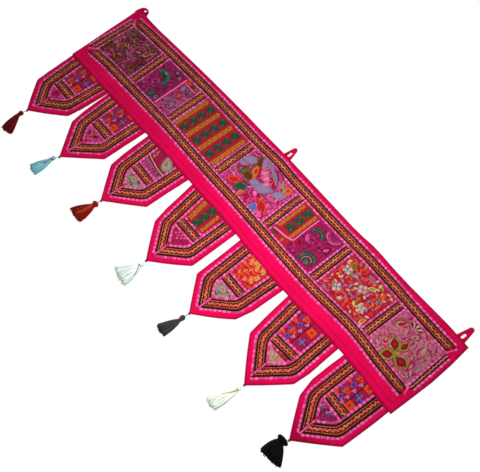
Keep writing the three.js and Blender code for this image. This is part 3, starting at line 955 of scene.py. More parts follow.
def dress_braid(name, strip, surface, cords, ends=SQUARE_ENDS):
    """A braid's ribbon and cords. ends: how far each end's two corners move along, in millimetres."""
    steps = max(6, int(strip.length / RIBBON_STEP))
    found = {}
    seed = int(strip.length * 1e6)

    def span(across, share):
        start = (ends[0][0] + (ends[0][1] - ends[0][0]) * across) * MM
        stop = strip.length + (ends[1][0] + (ends[1][1] - ends[1][0]) * across) * MM
        return start + (stop - start) * share

    def place(across, down):
        run = span(across, down)
        found["uv"] = np.column_stack((across, run))
        laid = surface.lay(strip.at(across, run))
        laid[:, 1] -= BRAID_RISE + RIBBON_CROWN * np.sin(math.pi * across)
        return laid

    mesh = grid_sheet(RIBBON_COLUMNS, steps, place)
    set_uv(mesh, found["uv"])
    braid = show(name + "_ribbon", mesh, BRAID_WEAVE, "braid", [name])
    thicken(braid, RIBBON_THICK, RIBBON_RIM, 1)

    turns = max(3, round(strip.length / ZIGZAG_PERIOD))
    count = turns * ZIGZAG_POINTS + 1
    phase = np.arange(count) * 2 * math.pi / ZIGZAG_POINTS + 0.9 * worn(count, seed + 9, -1, 1)
    swing = (np.sin(phase) - 0.08 * np.sin(3 * phase)) * min(ZIGZAG_REACH / strip.width, ZIGZAG_LIMIT)
    swing *= worn(count, seed + 10, 0.65, 1.15)
    run = span(0.5, np.linspace(0.005, 0.995, count))
    path = surface.lay(strip.at(0.5 + swing, run), BRAID_RISE + 0.4 * MM)
    tones = np.clip(np.array(DYES["apricot"]) * worn(count, seed, 0.5, 1.1)[:, None], 0, 1)
    radius = ZIGZAG_HALF * worn(count, seed + 1, 0.75, 1.15)
    cords.append(tube(path, radius, ZIGZAG_SIDES, np.repeat(tones, ZIGZAG_SIDES, axis=0), 0.5))

    for side, across in enumerate(GOLD_ACROSS):
        count = 4 * max(3, round(strip.length / BEAD_PERIOD)) + 1
        run = span(across, np.linspace(0.004, 0.996, count))
        path = surface.lay(strip.at(across, run), BRAID_RISE + 0.2 * MM)
        bead = np.arange(count) % 4 > 0
        gold = np.array(DYES["gold"]) * worn(count, seed + 2 + side, 0.5, 1.15)[:, None]
        colours = np.where(bead[:, None], gold, DYES["dark"])
        radius = np.where(bead, GOLD_BEAD, GOLD_WAIST) * min(1.0, strip.width / FULL_WIDTH) * MM
        cords.append(tube(path, radius, GOLD_SIDES, np.repeat(colours, GOLD_SIDES, axis=0), 0.55))

    for side, (across, half) in enumerate(DARK_CORDS):
        count = max(8, int(strip.length / DARK_STEP))
        run = span(across, np.linspace(0.004, 0.996, count))
        path = surface.lay(strip.at(across, run), BRAID_RISE + 0.1 * MM)
        radius = half * MM * worn(count, seed + 5 + side, 0.6, 1.15)
        cords.append(tube(path, radius, DARK_SIDES, DYES["dark"], 0.4))
    return braid


top_braid = Strip("braid_top", False)
bottom_braid = Strip("braid_bottom", False)
end_braids = [Strip("braid_left", True), Strip("braid_right", True)]
bars = [Strip(f"bar_{i}", True) for i in range(1, 7)]

braid_cords = []
header_braids = [
    ("braid_top", top_braid, ((1, 14), (0, -5))),
    ("braid_bottom", bottom_braid, ((9, -5), (-3, 0))),
    ("braid_left", end_braids[0], ((-12, -1), (12, 1))),
    ("braid_right", end_braids[1], SQUARE_ENDS),
]
header_braids += [(f"bar_{i}", bar, SQUARE_ENDS) for i, bar in enumerate(bars, 1)]
for name, strip, ends in header_braids:
    dress_braid(name, strip, header_front, braid_cords, ends)
joined("header_braid_cords", braid_cords, EMBROIDERY_THREAD, "braid")

for flap in flaps:
    cords = []
    n = flap.number
    flap.pieces = [
        dress_braid(f"braid_{n}_left", flap.sides[0], flap.front, cords),
        dress_braid(f"braid_{n}_right", flap.sides[1], flap.front, cords),
        dress_braid(f"cross_{n}", flap.cross, flap.front, cords),
    ]
    flap.pieces.append(joined(f"flap_{n}_braid_cords", cords, EMBROIDERY_THREAD, "braid"))


# Edging: close pale stitches beside every braid

EDGING_GAP = 3.7 * MM
PATCH_EDGING_GAP = 3.0 * MM
EDGING_PITCH = 8.8 * MM
EDGING_WIDE = 6.0 * MM
EDGING_RISE = 1.3 * MM
INNER_GAP = 3.8 * MM
INNER_WIDE = 7.2 * MM
MITRE_WIDE = 4.6 * MM
SEAM_PITCH = 4.2 * MM
CORE_SHARE = 0.38
PUFF_LONG = 0.47
PUFF_WIDE = 0.42
PUFF_TURN = 22
EDGING_DYES = ("pale_pink", "pale_pink", "rose", "lilac", "lilac")


def edging(line, surface, seed, wide=EDGING_WIDE, pitch=EDGING_PITCH):
    """A row of stitched puffs along a line on the cloth."""
    total = lengths(line)[-1]
    count = max(1, round(total / pitch))
    step = total / count
    draw = np.random.default_rng(seed)
    core = surface.lay(along(line, np.linspace(0.1 * step, total - 0.1 * step, 2 * count + 1)), 0.2 * MM)
    made = [tube(core, CORE_SHARE * wide, 6, toned(DYES["rose"], 0.95), 0.3)]
    for i in range(count):
        centre = along(line, np.array([(i + 0.5) * step]))[0]
        ahead = along(line, np.array([max(0.0, (i + 0.3) * step), (i + 0.7) * step]))
        angle = math.degrees(math.atan2(*(ahead[1] - ahead[0])[::-1]))
        tone = draw.uniform(0.78, 1.12)
        colour = toned(DYES[EDGING_DYES[draw.integers(len(EDGING_DYES))]], tone)
        long = step * PUFF_LONG * draw.uniform(0.75, 1.1)
        high = wide * PUFF_WIDE * draw.uniform(0.75, 1.15)
        rise = EDGING_RISE * draw.uniform(0.8, 1.15)
        angle += draw.uniform(-PUFF_TURN, PUFF_TURN)
        made.append(stamped(PUFF, surface, *centre, long, high, angle, rise, colour))
    return made


# The edging over the header's four mitred corners, on the chart.
MITRES = [
    [(0.125, 0.19), (0.235, 0.27)],
    [(0.12, 1.055), (0.24, 0.935)],
    [(6.935, 0.115), (6.9, 0.2), (6.865, 0.275)],
    [(6.865, 0.9), (6.9, 0.95), (6.91, 1.03)],
]

header_edging = []
outer_edges = [(top_braid, False), (bottom_braid, True), (end_braids[0], False), (end_braids[1], True)]
for n, strip in enumerate([top_braid, bottom_braid, *bars, *end_braids]):
    for second in (False, True):
        gap = EDGING_GAP if (strip, second) in outer_edges else PATCH_EDGING_GAP
        over = 10 * MM if strip is end_braids[0] and not second else 0.0
        header_edging += edging(strip.beside(gap, second, over), header_front, 40 + 2 * n + second)
for n, mitre in enumerate(MITRES):
    header_edging += edging(np.array([chart(*place) for place in mitre]), header_front, 90 + n, MITRE_WIDE)
joined("header_edging", header_edging, EDGING_THREAD, "pink_cloth")

for flap in flaps:
    left, right = flap.sides
    seed = 100 + 10 * flap.number
    rows = edging(left.beside(EDGING_GAP, False), flap.front, seed)
    rows += edging(left.beside(INNER_GAP, True), flap.front, seed + 1, INNER_WIDE)
    rows += edging(right.beside(INNER_GAP, False), flap.front, seed + 2, INNER_WIDE)
    rows += edging(right.beside(EDGING_GAP, True), flap.front, seed + 3)
    rows += edging(flap.cross.beside(EDGING_GAP, False, steps=20), flap.front, seed + 4)
    rows += edging(flap.cross.beside(EDGING_GAP, True, steps=20), flap.front, seed + 5)
    seam_top = (left.second[-1] + right.first[-1]) / 2
    seam_foot = (left.first[-1] + right.second[-1]) / 2
    seam = np.array([seam_top + (0, 2 * MM), seam_foot - (0, 5 * MM)])
    rows += edging(seam, flap.front, seed + 6, MITRE_WIDE, SEAM_PITCH)
    flap.pieces.append(joined(f"flap_{flap.number}_edging", rows, EDGING_THREAD, "pink_cloth"))


# Patches: worked grounds between the braids, each with its raised motifs

PATCH_GAP = 5.3 * MM
PATCH_RISE = 0.45 * MM
PATCH_THICK = 0.4 * MM
STREWN_LIFT = PATCH_RISE + 0.05 * MM
SEED_LONG = 2.6
SEED_WIDE = 0.8
MOTIF_RISE = 0.7 * MM
MOTIF_LIFT = 0.3 * MM
MOTIF_STEP = 0.34
RIM_WIDE = 2.4
RIM_HIGH = 2.8
RIM_RISE = 0.6
FIELD_MIDDLE = -0.1
PANEL_HEAD = 13 * MM
PANEL_FOOT = -0.23
POINT_REACH = 0.07
POINT_LEAST = 1.5 * MM

GROUNDS = {
    "dark_paisley": [("plum", 5), ("brown", 4), ("olive", 1.2), ("mauve", 1), ("magenta", 1.6)],
    "magenta_silk": [("magenta", 6), ("plum", 2)],
    "leafy_magenta": [("magenta", 4), ("grey_leaf", 1.4), ("mauve", 2), ("rose", 1)],
    "orange_strip": [("orange", 3), ("olive", 2), ("red", 2), ("ochre", 1)],
    "red_cotton": [("red", 4), ("crimson", 5), ("rust", 1.4)],
    "pink_paisley": [("rose", 5), ("magenta", 3), ("crimson", 1.6), ("mauve", 1.4), ("pale_pink", 0.6)],
    "plum_magenta": [("magenta", 6), ("crimson", 1.5), ("plum", 2)],
    "confetti": [("red", 4), ("magenta", 4), ("orange", 1.5), ("crimson", 4), ("plum", 1)],
    "dusty_paisley": [("dusty_pink", 6), ("mauve", 3), ("beige", 1.2), ("rose", 2), ("crimson", 0.8)],
    "crimson_silk": [("crimson", 5), ("magenta", 2.5), ("plum", 0.8)],
    "mauve_dots": [("mauve", 5), ("rose", 3), ("plum", 1)],
    "red_orange": [("red", 5), ("orange", 3), ("crimson", 2)],
    "rose_tip": [("rose", 3), ("crimson", 2), ("magenta", 1)],
    "stone_tip": [("stone", 4), ("beige", 2), ("grey_leaf", 1.5), ("dark", 0.6)],
    "beige_tip": [("beige", 3), ("dusty_pink", 3), ("cream", 1)],
}
GROUND_CLOTHS = {name: embroidered(name, colours) for name, colours in GROUNDS.items()}


uprights = [end_braids[0], *bars, end_braids[1]]


def header_field(field):
    """The patchwork between two uprights, as a place function of shares across and down."""
    left = edge_x(uprights[field - 1].second)
    right = edge_x(uprights[field].first)
    top = edge_z(top_braid.second)
    foot = edge_z(bottom_braid.first)

    def place(across, down):
        middle = (left(FIELD_MIDDLE) + right(FIELD_MIDDLE)) / 2
        head = float(top(middle)) - PATCH_GAP
        sill = float(foot(middle)) + PATCH_GAP
        rough = head + (sill - head) * down
        x0 = left(rough) + PATCH_GAP
        x1 = right(rough) - PATCH_GAP
        x = x0 + (x1 - x0) * across
        return np.column_stack((x, top(x) - PATCH_GAP + (foot(x) - top(x) + 2 * PATCH_GAP) * down))

    return place


def flap_panel(flap):
    """The patch over a flap's cross braid."""
    sill = edge_z(flap.cross.first)
    head = flap.rows[0] - PANEL_HEAD

    def place(across, down):
        x0, x1 = flap.inner(np.full_like(down, PANEL_FOOT), PATCH_GAP)
        x = x0 + (x1 - x0) * across
        foot = sill(x) + PATCH_GAP
        z = head + (foot - head) * down
        x0, x1 = flap.inner(z, PATCH_GAP)
        return np.column_stack((x0 + (x1 - x0) * across, z))

    return place


def flap_point(flap):
    """The three-cornered patch under a flap's cross braid."""
    head = float(flap.cross.second[:, 1].min()) - PATCH_GAP
    heights = np.linspace(head, head - POINT_REACH, 80)
    x0, x1 = flap.inner(heights, PATCH_GAP)
    foot = float(heights[np.argmax(x1 - x0 < POINT_LEAST)])

    def place(across, down):
        z = head + (foot - head) * down
        x0, x1 = flap.inner(z, PATCH_GAP)
        return np.column_stack((x0 + (x1 - x0) * across, z))

    return place


def part_place(place, across, down):
    """The part of a field between two shares across and two shares down."""
    def inner(s, t):
        return place(across[0] + (across[1] - across[0]) * s, down[0] + (down[1] - down[0]) * t)

    return inner


def patch(name, place, surface, ground, columns, rows):
    """One patch of worked cloth."""
    def laid(across, down):
        return surface.lay(place(across, down), PATCH_RISE)

    piece = show(name, grid_sheet(columns, rows, laid), GROUND_CLOTHS[ground])
    thicken(piece, PATCH_THICK)
    return piece


def strewn(place, surface, shape, count, dyes, seed, wide, high, rise=0.6 * MM, loose=180.0):
    """Small stitched shapes over a patch. loose: how many degrees they stray from the stitches' sweep."""
    draw = np.random.default_rng(seed)
    rows = max(1, int(math.sqrt(count)))
    columns = max(1, round(count / rows))
    made = []
    for row in range(rows):
        for column in range(columns):
            across = np.array([(column + draw.uniform(0.1, 0.9)) / columns])
            down = np.array([(row + draw.uniform(0.1, 0.9)) / rows])
            x, z = place(0.03 + 0.94 * across, 0.03 + 0.94 * down)[0]
            colour = toned(DYES[dyes[draw.integers(len(dyes))]], draw.uniform(0.8, 1.1))
            size = draw.uniform(0.75, 1.25)
            sweep = 70 * math.sin(31 * x) + 60 * math.cos(37 * z)
            turn = sweep + draw.uniform(-loose, loose)
            made.append(stamped(
                shape, surface, x, z, wide * size * MM, high * size * MM, turn, rise, colour, STREWN_LIFT))
    return made


def seeds(place, surface, count, dyes, seed):
    """Loose filling stitches all over a patch."""
    return strewn(place, surface, SEED, count, dyes, seed, SEED_LONG, SEED_WIDE)


def motif(surface, shape, dyes, u, v, wide, high, turn=0.0, rim=None):
    """A satin-stitched motif: one shape for each dye, the outermost first, and a rim of outline stitches."""
    form = SHAPES[shape]
    x, z = chart(u, v)
    made = []
    if rim:
        size = ((wide + RIM_WIDE) * MM, (high + RIM_HIGH) * MM)
        made.append(stamped(form, surface, x, z, *size, turn, MOTIF_RISE * RIM_RISE, DYES[rim], PATCH_RISE))
    for i, colour in enumerate(dyes.split()):
        share = 1 - MOTIF_STEP * i
        size = (wide * share * MM, high * share * MM)
        off = PATCH_RISE + MOTIF_LIFT * i
        made.append(stamped(form, surface, x, z, *size, turn, MOTIF_RISE, DYES[colour], off))
    return made


def stripe(surface, dyes, points, wide=2.6):
    """Laid cords along a charted line, side by side."""
    flat = np.array([chart(u, v) for u, v in points])
    total = lengths(flat)[-1]
    flat = along(flat, np.linspace(0, total, max(4, int(total / (3 * MM)))))
    step = np.gradient(flat, axis=0)
    normal = np.column_stack((step[:, 1], -step[:, 0])) / np.hypot(*step.T)[:, None]
    made = []
    names = dyes.split()
    for i, colour in enumerate(names):
        shift = (i - (len(names) - 1) / 2) * wide * MM
        path = surface.lay(flat + normal * shift, PATCH_RISE + MOTIF_LIFT)
        made.append(tube(path, wide / 2 * MM, 6, DYES[colour], 0.5))
    return made


# A blade's leaf is larger than the space between its two places, because its ends are so slender.
LEAF_OVER = 1.3


def blade(surface, dyes, u, v, far_u, far_v, wide, rim):
    """A leaf laid from one place on the chart to another."""
    turn = math.degrees(math.atan2(u - far_u, v - far_v))
    high = LEAF_OVER * math.hypot(far_u - u, far_v - v) * PITCH / MM
    middle = ((u + far_u) / 2, (v + far_v) / 2)
    return motif(surface, "leaf", dyes, *middle, LEAF_OVER * wide, high, turn, rim)


HERRINGBONE_WIDE = 2.9 * MM
HERRINGBONE_SLANT = 48


def herringbone(surface, dyes, points, wide, step=4.6):
    """A band of slanting stitches in two rows that meet in its middle."""
    flat = np.array([chart(u, v) for u, v in points])
    total = lengths(flat)[-1]
    count = max(2, round(total / (step * MM)))
    names = dyes.split()
    made = []
    for i in range(count):
        ends = along(flat, np.array([i, i + 1]) / count * total)
        ahead = (ends[1] - ends[0]) / np.hypot(*(ends[1] - ends[0]))
        side = np.array([-ahead[1], ahead[0]])
        angle = math.degrees(math.atan2(ahead[1], ahead[0]))
        for sign in (-1, 1):
            x, z = ends.mean(axis=0) + side * sign * wide * 0.26 * MM
            tone = 0.8 + 0.25 * ((i * 7 + sign) % 3) / 2
            colour = toned(DYES[names[(i + (sign > 0)) % len(names)]], tone)
            turn = angle + 90 + sign * HERRINGBONE_SLANT
            made.append(stamped(SHAPES["leaf"], surface, x, z, HERRINGBONE_WIDE, wide * 0.86 * MM, turn,
                                MOTIF_RISE, colour, PATCH_RISE + 0.1 * MM))
    return made


def beyond(u, v, reach, turn):
    """The place that far from another on the chart, in millimetres, turned by degrees from straight up."""
    away = reach / PITCH_MM
    return u + away * math.sin(math.radians(turn)), v - away * math.cos(math.radians(turn))


def cross_figure(surface, u, v, size):
    """A charted green figure: a stepped ground, four leaves set crosswise and a dark eye."""
    made = motif(surface, "steps", "leaf_green", u, v, size * 0.7, size * 0.7, 45, rim="maroon")
    for i, turn in enumerate((45, 135, 225, 315)):
        at = beyond(u, v, size * 0.31, turn)
        tint = ("leaf_green", "fir")[i % 2]
        made += motif(surface, "leaf", tint, *at, size * 0.33, size * 0.56, -turn, rim="deep_green")
    return made + motif(surface, "dot", "deep_green", u, v, size * 0.18, size * 0.18)


ARC_GAP = 1.1
ARC_POINTS = 14


def arcs(surface, dyes, u, v, radius, start, end, wide=1.8):
    """Cords laid in arcs one inside another, by degrees."""
    made = []
    for i, colour in enumerate(dyes.split()):
        reach = (radius - i * wide * ARC_GAP) / PITCH_MM
        turns = np.radians(np.linspace(start, end, ARC_POINTS))
        points = [(u + reach * math.cos(a), v - reach * math.sin(a)) for a in turns]
        made += stripe(surface, colour, points, wide)
    return made


def flower(surface, dyes, u, v, size, petals, turn=0.0):
    """Petals round a centre. The last dye is the centre's."""
    *petal_dyes, core = dyes.split()
    made = []
    for i in range(petals):
        angle = turn + 360 * i / petals
        at = beyond(u, v, size * 0.3, angle)
        made += motif(surface, "leaf", petal_dyes[i % len(petal_dyes)], *at, size * 0.34, size * 0.46, -angle)
    return made + motif(surface, "dot", core, u, v, size * 0.24, size * 0.24)


# Header patches: field, shares across and down, ground, filling dyes and how many filling stitches.
HEADER_PATCHES = [
    (1, (0, 1), (0, 1), "dark_paisley", "olive dusty_pink plum maroon plum mauve", 90),
    (2, (0, 0.6), (0, 1), "magenta_silk", "magenta rose plum", 60),
    (2, (0.66, 1), (0.16, 1), "leafy_magenta", "plum rose grey_leaf magenta", 60),
    (2, (0.66, 1), (0, 0.13), "orange_strip", "orange olive red", 14),
    (3, (0, 1), (0, 1), "red_cotton", "crimson red orange rust", 100),
    (4, (0, 1), (0, 1), "pink_paisley", "rose magenta crimson", 60),
    (5, (0, 0.38), (0, 0.84), "red_cotton", "crimson orange", 30),
    (5, (0, 0.38), (0.84, 1), "red_cotton", "ochre leaf_green", 10),
    (5, (0.38, 1), (0, 1), "plum_magenta", "magenta rose crimson plum", 130),
    (6, (0, 1), (0, 1), "confetti", "orange cream red magenta crimson", 150),
    (7, (0, 1), (0, 1), "dusty_paisley", "dusty_pink pale_pink crimson mauve cream", 200),
]

# Small leaves strewn over a patch: its field, how many, their dyes, width, length and how loosely they lie.
STREWN_LEAVES = [
    (1, 70, "dusty_pink mauve plum rose olive maroon magenta", 3.4, 14, 12),
    (2, 60, "plum rose magenta crimson mauve", 2.0, 8, 20),
    (4, 80, "rose pale_pink crimson rose magenta", 2.6, 12, 12),
    (5, 60, "rose plum magenta crimson", 2.0, 8, 20),
    (6, 130, "orange cream red moss lavender cream orange grey_leaf salmon", 3.8, 9.5, 180),
    (7, 80, "dusty_pink crimson pale_pink beige mauve magenta", 2.2, 11, 14),
]

# Header motifs: shape, dyes from the outside in, place on the chart, width, height and turn.
HEADER_MOTIFS = [
    ("paisley", "olive brown dusty_pink", 0.36, 0.37, 17, 23, 20),
    ("paisley", "dusty_pink plum", 0.5, 0.4, 14, 20, -25),
    ("paisley", "mauve plum rose", 0.66, 0.4, 16, 23, 200),
    ("paisley", "beige rust", 0.8, 0.43, 16, 24, -15), ("paisley", "ochre brown", 0.42, 0.64, 15, 24, 160),
    ("paisley", "lavender magenta", 0.56, 0.6, 14, 22, 35),
    ("paisley", "dusty_pink brown mauve", 0.7, 0.65, 15, 22, -30),
    ("paisley", "olive plum", 0.84, 0.68, 12, 20, 15), ("paisley", "rust olive", 0.32, 0.81, 13, 14, 80),
    ("leaf", "ochre", 0.48, 0.82, 6, 16, 60), ("leaf", "olive", 0.6, 0.83, 6, 15, -60),
    ("leaf", "mauve", 0.74, 0.84, 6, 17, 80), ("dot", "rose", 0.3, 0.52, 7, 7, 0),
    ("dot", "brown dusty_pink", 0.87, 0.34, 8, 8, 0), ("leaf", "dusty_pink", 0.3, 0.66, 6, 15, -10),
    ("crescent", "teal leaf_green", 1.27, 0.53, 42, 44, -28),
    ("leaf", "leaf_green teal", 1.41, 0.8, 11, 24, -12), ("leaf", "plum grey_leaf", 1.38, 0.29, 9, 17, 80),
    ("leaf", "grey_leaf", 1.48, 0.33, 6, 11, 60), ("paisley", "rose magenta", 1.15, 0.72, 15, 22, 30),
    ("leaf", "pale_teal", 1.28, 0.43, 4, 14, 60), ("dot", "pale_teal leaf_green", 1.51, 0.8, 7, 9, 0),
    ("leaf", "rose plum", 1.27, 0.62, 9, 20, -30), ("leaf", "grey_leaf lavender", 1.66, 0.4, 9, 19, 25),
    ("leaf", "grey_leaf plum", 1.78, 0.42, 9, 20, -30), ("leaf", "orange", 1.72, 0.53, 7, 15, 10),
    ("leaf", "lavender mauve", 1.65, 0.68, 8, 18, -35),
    ("leaf", "lavender grey_leaf", 1.78, 0.7, 9, 18, 30), ("dot", "rose", 1.72, 0.81, 8, 8, 0),
    ("square", "orange", 1.66, 0.27, 8, 6, 0), ("square", "leaf_green", 1.73, 0.27, 6, 6, 0),
    ("square", "red ochre", 1.8, 0.27, 8, 6, 0), ("square", "orange ochre red", 3.93, 0.31, 17, 17, 8),
    ("dot", "crimson rose magenta", 3.7, 0.79, 16, 16, 0), ("dot", "fir teal", 4.87, 0.8, 14, 14, 0),
    ("dot", "pale_teal white", 4.88, 0.805, 5, 5, 0), ("leaf", "rose", 4.62, 0.56, 8, 20, 35),
    ("leaf", "plum rose", 4.92, 0.5, 10, 22, -25), ("leaf", "crimson", 4.56, 0.72, 8, 20, -15),
    ("steps", "leaf_green", 4.28, 0.82, 13, 9, 0), ("leaf", "moss olive", 5.32, 0.37, 8, 22, 30),
    ("leaf", "orange red", 5.46, 0.32, 10, 20, -30), ("leaf", "lavender mauve", 5.6, 0.31, 9, 20, 75),
    ("leaf", "cream moss", 5.7, 0.4, 7, 20, -50), ("leaf", "orange", 5.86, 0.37, 9, 19, 40),
    ("leaf", "red orange", 5.92, 0.52, 9, 20, -10), ("leaf", "lavender", 5.42, 0.45, 7, 17, -60),
    ("leaf", "red", 5.26, 0.62, 9, 19, -20), ("leaf", "red orange", 5.6, 0.76, 11, 20, 15),
    ("leaf", "cream", 5.52, 0.8, 6, 14, -40), ("leaf", "red", 5.68, 0.83, 10, 15, 70),
    ("leaf", "cream orange", 5.93, 0.8, 7, 17, -20),
    ("paisley", "dusty_pink crimson beige", 6.28, 0.72, 20, 26, 30),
    ("paisley", "beige crimson", 6.27, 0.43, 17, 25, -20),
    ("paisley", "mauve beige crimson", 6.5, 0.44, 19, 24, 160),
    ("paisley", "dusty_pink beige", 6.68, 0.46, 15, 25, 25),
    ("leaf", "moss maroon crimson", 6.4, 0.685, 20, 34, 50),
    ("leaf", "moss maroon crimson", 6.61, 0.78, 23, 36, -82),
    ("leaf", "moss maroon crimson", 6.43, 0.845, 20, 31, 140),
    ("leaf", "moss maroon crimson", 6.5, 0.615, 14, 27, -5), ("dot", "moss gold", 6.505, 0.74, 10, 10, 0),
    ("paisley", "crimson mauve beige", 6.73, 0.73, 15, 24, 200), ("leaf", "beige", 6.24, 0.83, 5, 15, 70),
    ("dot", "beige crimson", 6.62, 0.6, 8, 8, 0),
]

# Blades of the fourth patch: dyes, from where to where on the chart, and width.
BLADES = [
    ("grey_leaf lavender", 3.13, 0.44, 3.33, 0.33, 15), ("mauve lavender", 3.12, 0.53, 3.26, 0.47, 9),
    ("orange ochre red", 3.47, 0.56, 3.35, 0.34, 13), ("olive brown", 3.39, 0.4, 3.29, 0.23, 12),
    ("red crimson", 3.49, 0.5, 3.37, 0.29, 7), ("olive", 3.37, 0.46, 3.31, 0.33, 6),
    ("slate lavender", 3.34, 0.21, 3.46, 0.36, 9), ("lavender grey_leaf", 3.37, 0.2, 3.56, 0.27, 9),
    ("lavender grey_leaf", 3.54, 0.25, 3.74, 0.37, 8), ("magenta mauve", 3.6, 0.2, 3.82, 0.31, 7),
    ("crimson", 3.6, 0.31, 3.77, 0.42, 6), ("beige moss", 3.74, 0.25, 3.9, 0.37, 5),
    ("dusty_pink rose", 3.74, 0.3, 3.88, 0.42, 6), ("olive brown", 3.29, 0.5, 3.43, 0.64, 13),
    ("fir olive", 3.26, 0.62, 3.36, 0.49, 11), ("olive brown", 3.4, 0.5, 3.46, 0.64, 8),
    ("dusty_pink mauve", 3.12, 0.64, 3.24, 0.7, 11), ("orange red", 3.24, 0.81, 3.38, 0.71, 12),
    ("fir leaf_green", 3.38, 0.82, 3.52, 0.69, 15), ("amber orange", 3.5, 0.86, 3.55, 0.78, 7),
    ("slate lavender", 3.45, 0.61, 3.6, 0.54, 12), ("grey_leaf lavender", 3.57, 0.62, 3.78, 0.48, 17),
    ("rose pale_pink", 3.62, 0.65, 3.7, 0.7, 7), ("slate blue", 3.75, 0.86, 3.87, 0.79, 14),
    ("orange red", 3.78, 0.68, 3.98, 0.78, 12), ("red", 3.77, 0.72, 3.92, 0.81, 6),
    ("grey_leaf lavender", 3.83, 0.52, 3.97, 0.39, 15), ("leaf_green", 3.82, 0.4, 3.88, 0.35, 6),
    ("mauve rose", 3.78, 0.59, 3.96, 0.55, 9), ("pale_pink rose", 3.86, 0.86, 3.93, 0.8, 6),
    ("pale_pink rose", 3.93, 0.87, 3.98, 0.82, 6), ("crimson", 3.6, 0.76, 3.67, 0.86, 6),
]

# The outline stitches' dye in each patch of the header.
RIMS = ["maroon", "plum", "maroon", "magenta", "plum", "crimson", "crimson"]


def header_work():
    """Every raised motif and cord on the header's patches."""
    front = header_front
    made = []
    for shape, dyes, u, *rest in HEADER_MOTIFS:
        made += motif(front, shape, dyes, u, *rest, rim=RIMS[int(u)])
    for row in BLADES:
        made += blade(front, *row, "plum")
    for i in range(7):
        across = 0.042 * i
        down = 0.02 * i
        feather = (3.44 + across, 0.275 + down, 3.41 + across, 0.38 + down)
        made += blade(front, ("pale_pink", "dusty_pink")[i % 2], *feather, 5, "crimson")
    for u in (2.08, 2.355, 2.64, 2.93):
        band = [(u, 0.265), (u, 0.86)]
        made += herringbone(front, "amber ochre", band, 9.4)
        made += stripe(front, "brown", band, 1.5)
    for u in (2.215, 2.5, 2.785):
        for v in (0.32, 0.475, 0.63, 0.785):
            made += cross_figure(front, u, v, 20)
            for side in (-1, 1):
                made += motif(front, "diamond", "red crimson", u + side * 0.052, v + 0.077, 8, 9)
        for v in (0.4, 0.55, 0.71):
            made += motif(front, "dot", "magenta", u, v, 5, 4)
    for u in (4.245, 4.475):
        made += herringbone(front, "amber ochre", [(u, 0.275), (u, 0.74)], 6.2)
    for v in (0.33, 0.48, 0.63):
        made += cross_figure(front, 4.365, v, 20)
    made += stripe(front, "pale_pink", [(4.22, 0.8), (4.32, 0.785), (4.42, 0.775), (4.53, 0.74)], 4.6)
    made += stripe(front, "pale_pink", [(4.535, 0.27), (4.53, 0.5), (4.535, 0.74)], 3.4)
    made += stripe(front, "ochre gold", [(4.43, 0.81), (4.43, 0.87)], 2.2)
    made += stripe(front, "pale_pink", [(1.565, 0.26), (1.575, 0.5), (1.58, 0.86)], 4.6)
    made += stripe(front, "pale_pink", [(1.61, 0.315), (1.83, 0.315)], 3.2)
    made += arcs(front, "rose pale_pink magenta rose", 4.85, 0.27, 17, 180, 360)
    made += arcs(front, "leaf_green teal leaf_green dusty_pink plum", 4.865, 0.795, 19, 25, 215, 2.9)
    made += arcs(front, "leaf_green teal leaf_green", 4.68, 0.47, 17, 15, 165, 3.0)
    made += arcs(front, "crimson rose", 3.7, 0.79, 14, 10, 320, 1.4)
    made += arcs(front, "mauve dusty_pink crimson beige rose", 6.3, 0.47, 19, 10, 200, 2.0)
    made += arcs(front, "beige rose crimson dusty_pink", 6.73, 0.5, 17, 40, 260, 2.0)
    made += arcs(front, "dusty_pink mauve cream", 6.73, 0.82, 14, -90, 110, 2.0)
    made += arcs(front, "dusty_pink plum olive rose mauve maroon", 0.7, 0.52, 25, 50, 250, 2.3)
    made += arcs(front, "mauve olive dusty_pink plum", 0.3, 0.74, 17, 20, 220, 2.1)
    made += arcs(front, "dusty_pink olive", 0.36, 0.37, 15, 100, 380, 1.5)
    for u, v, turn in ((5.38, 0.73, 0), (5.8, 0.7, 20), (5.3, 0.46, 35), (5.62, 0.5, 10)):
        made += flower(front, "cream lavender blue", u, v, 20, 8, turn)
    for i in range(7):
        turn = -60 + 20 * i
        at = (6.42 + 0.07 * math.sin(math.radians(turn)), 0.36 - 0.05 * math.cos(math.radians(turn)))
        made += motif(front, "leaf", ("dark", "cream")[i % 2], *at, 3, 11, -turn)
    for i in range(5):
        made += arcs(front, ("grey_leaf", "rose")[i % 2], 6.86, 0.7, 22 - 3 * i, 120, 240, 1.3)
    return made


HEADER_PATCH_ROWS = 28
WHOLE = (0, 1)
LEAFY_SHARE = (0.42, 1)

for i, (field, across, down, ground, fill, count) in enumerate(HEADER_PATCHES):
    name = f"patch_{i + 1}"
    place = part_place(header_field(field), across, down)
    columns = 8 + int(30 * (across[1] - across[0]))
    patch(name, place, header_front, ground, columns, HEADER_PATCH_ROWS)
    stitches = seeds(place, header_front, count, fill.split(), 300 + i)
    joined(name + "_fill", stitches, EMBROIDERY_THREAD, "pink_cloth")
leaves = []
for field, count, dyes, wide, high, loose in STREWN_LEAVES:
    place = part_place(header_field(field), LEAFY_SHARE if field == 5 else WHOLE, WHOLE)
    leaves += strewn(
        place, header_front, SHAPES["leaf"], count, dyes.split(), 600 + field, wide, high, MOTIF_RISE, loose)
joined("header_motifs", leaves + header_work(), EMBROIDERY_THREAD, "pink_cloth")


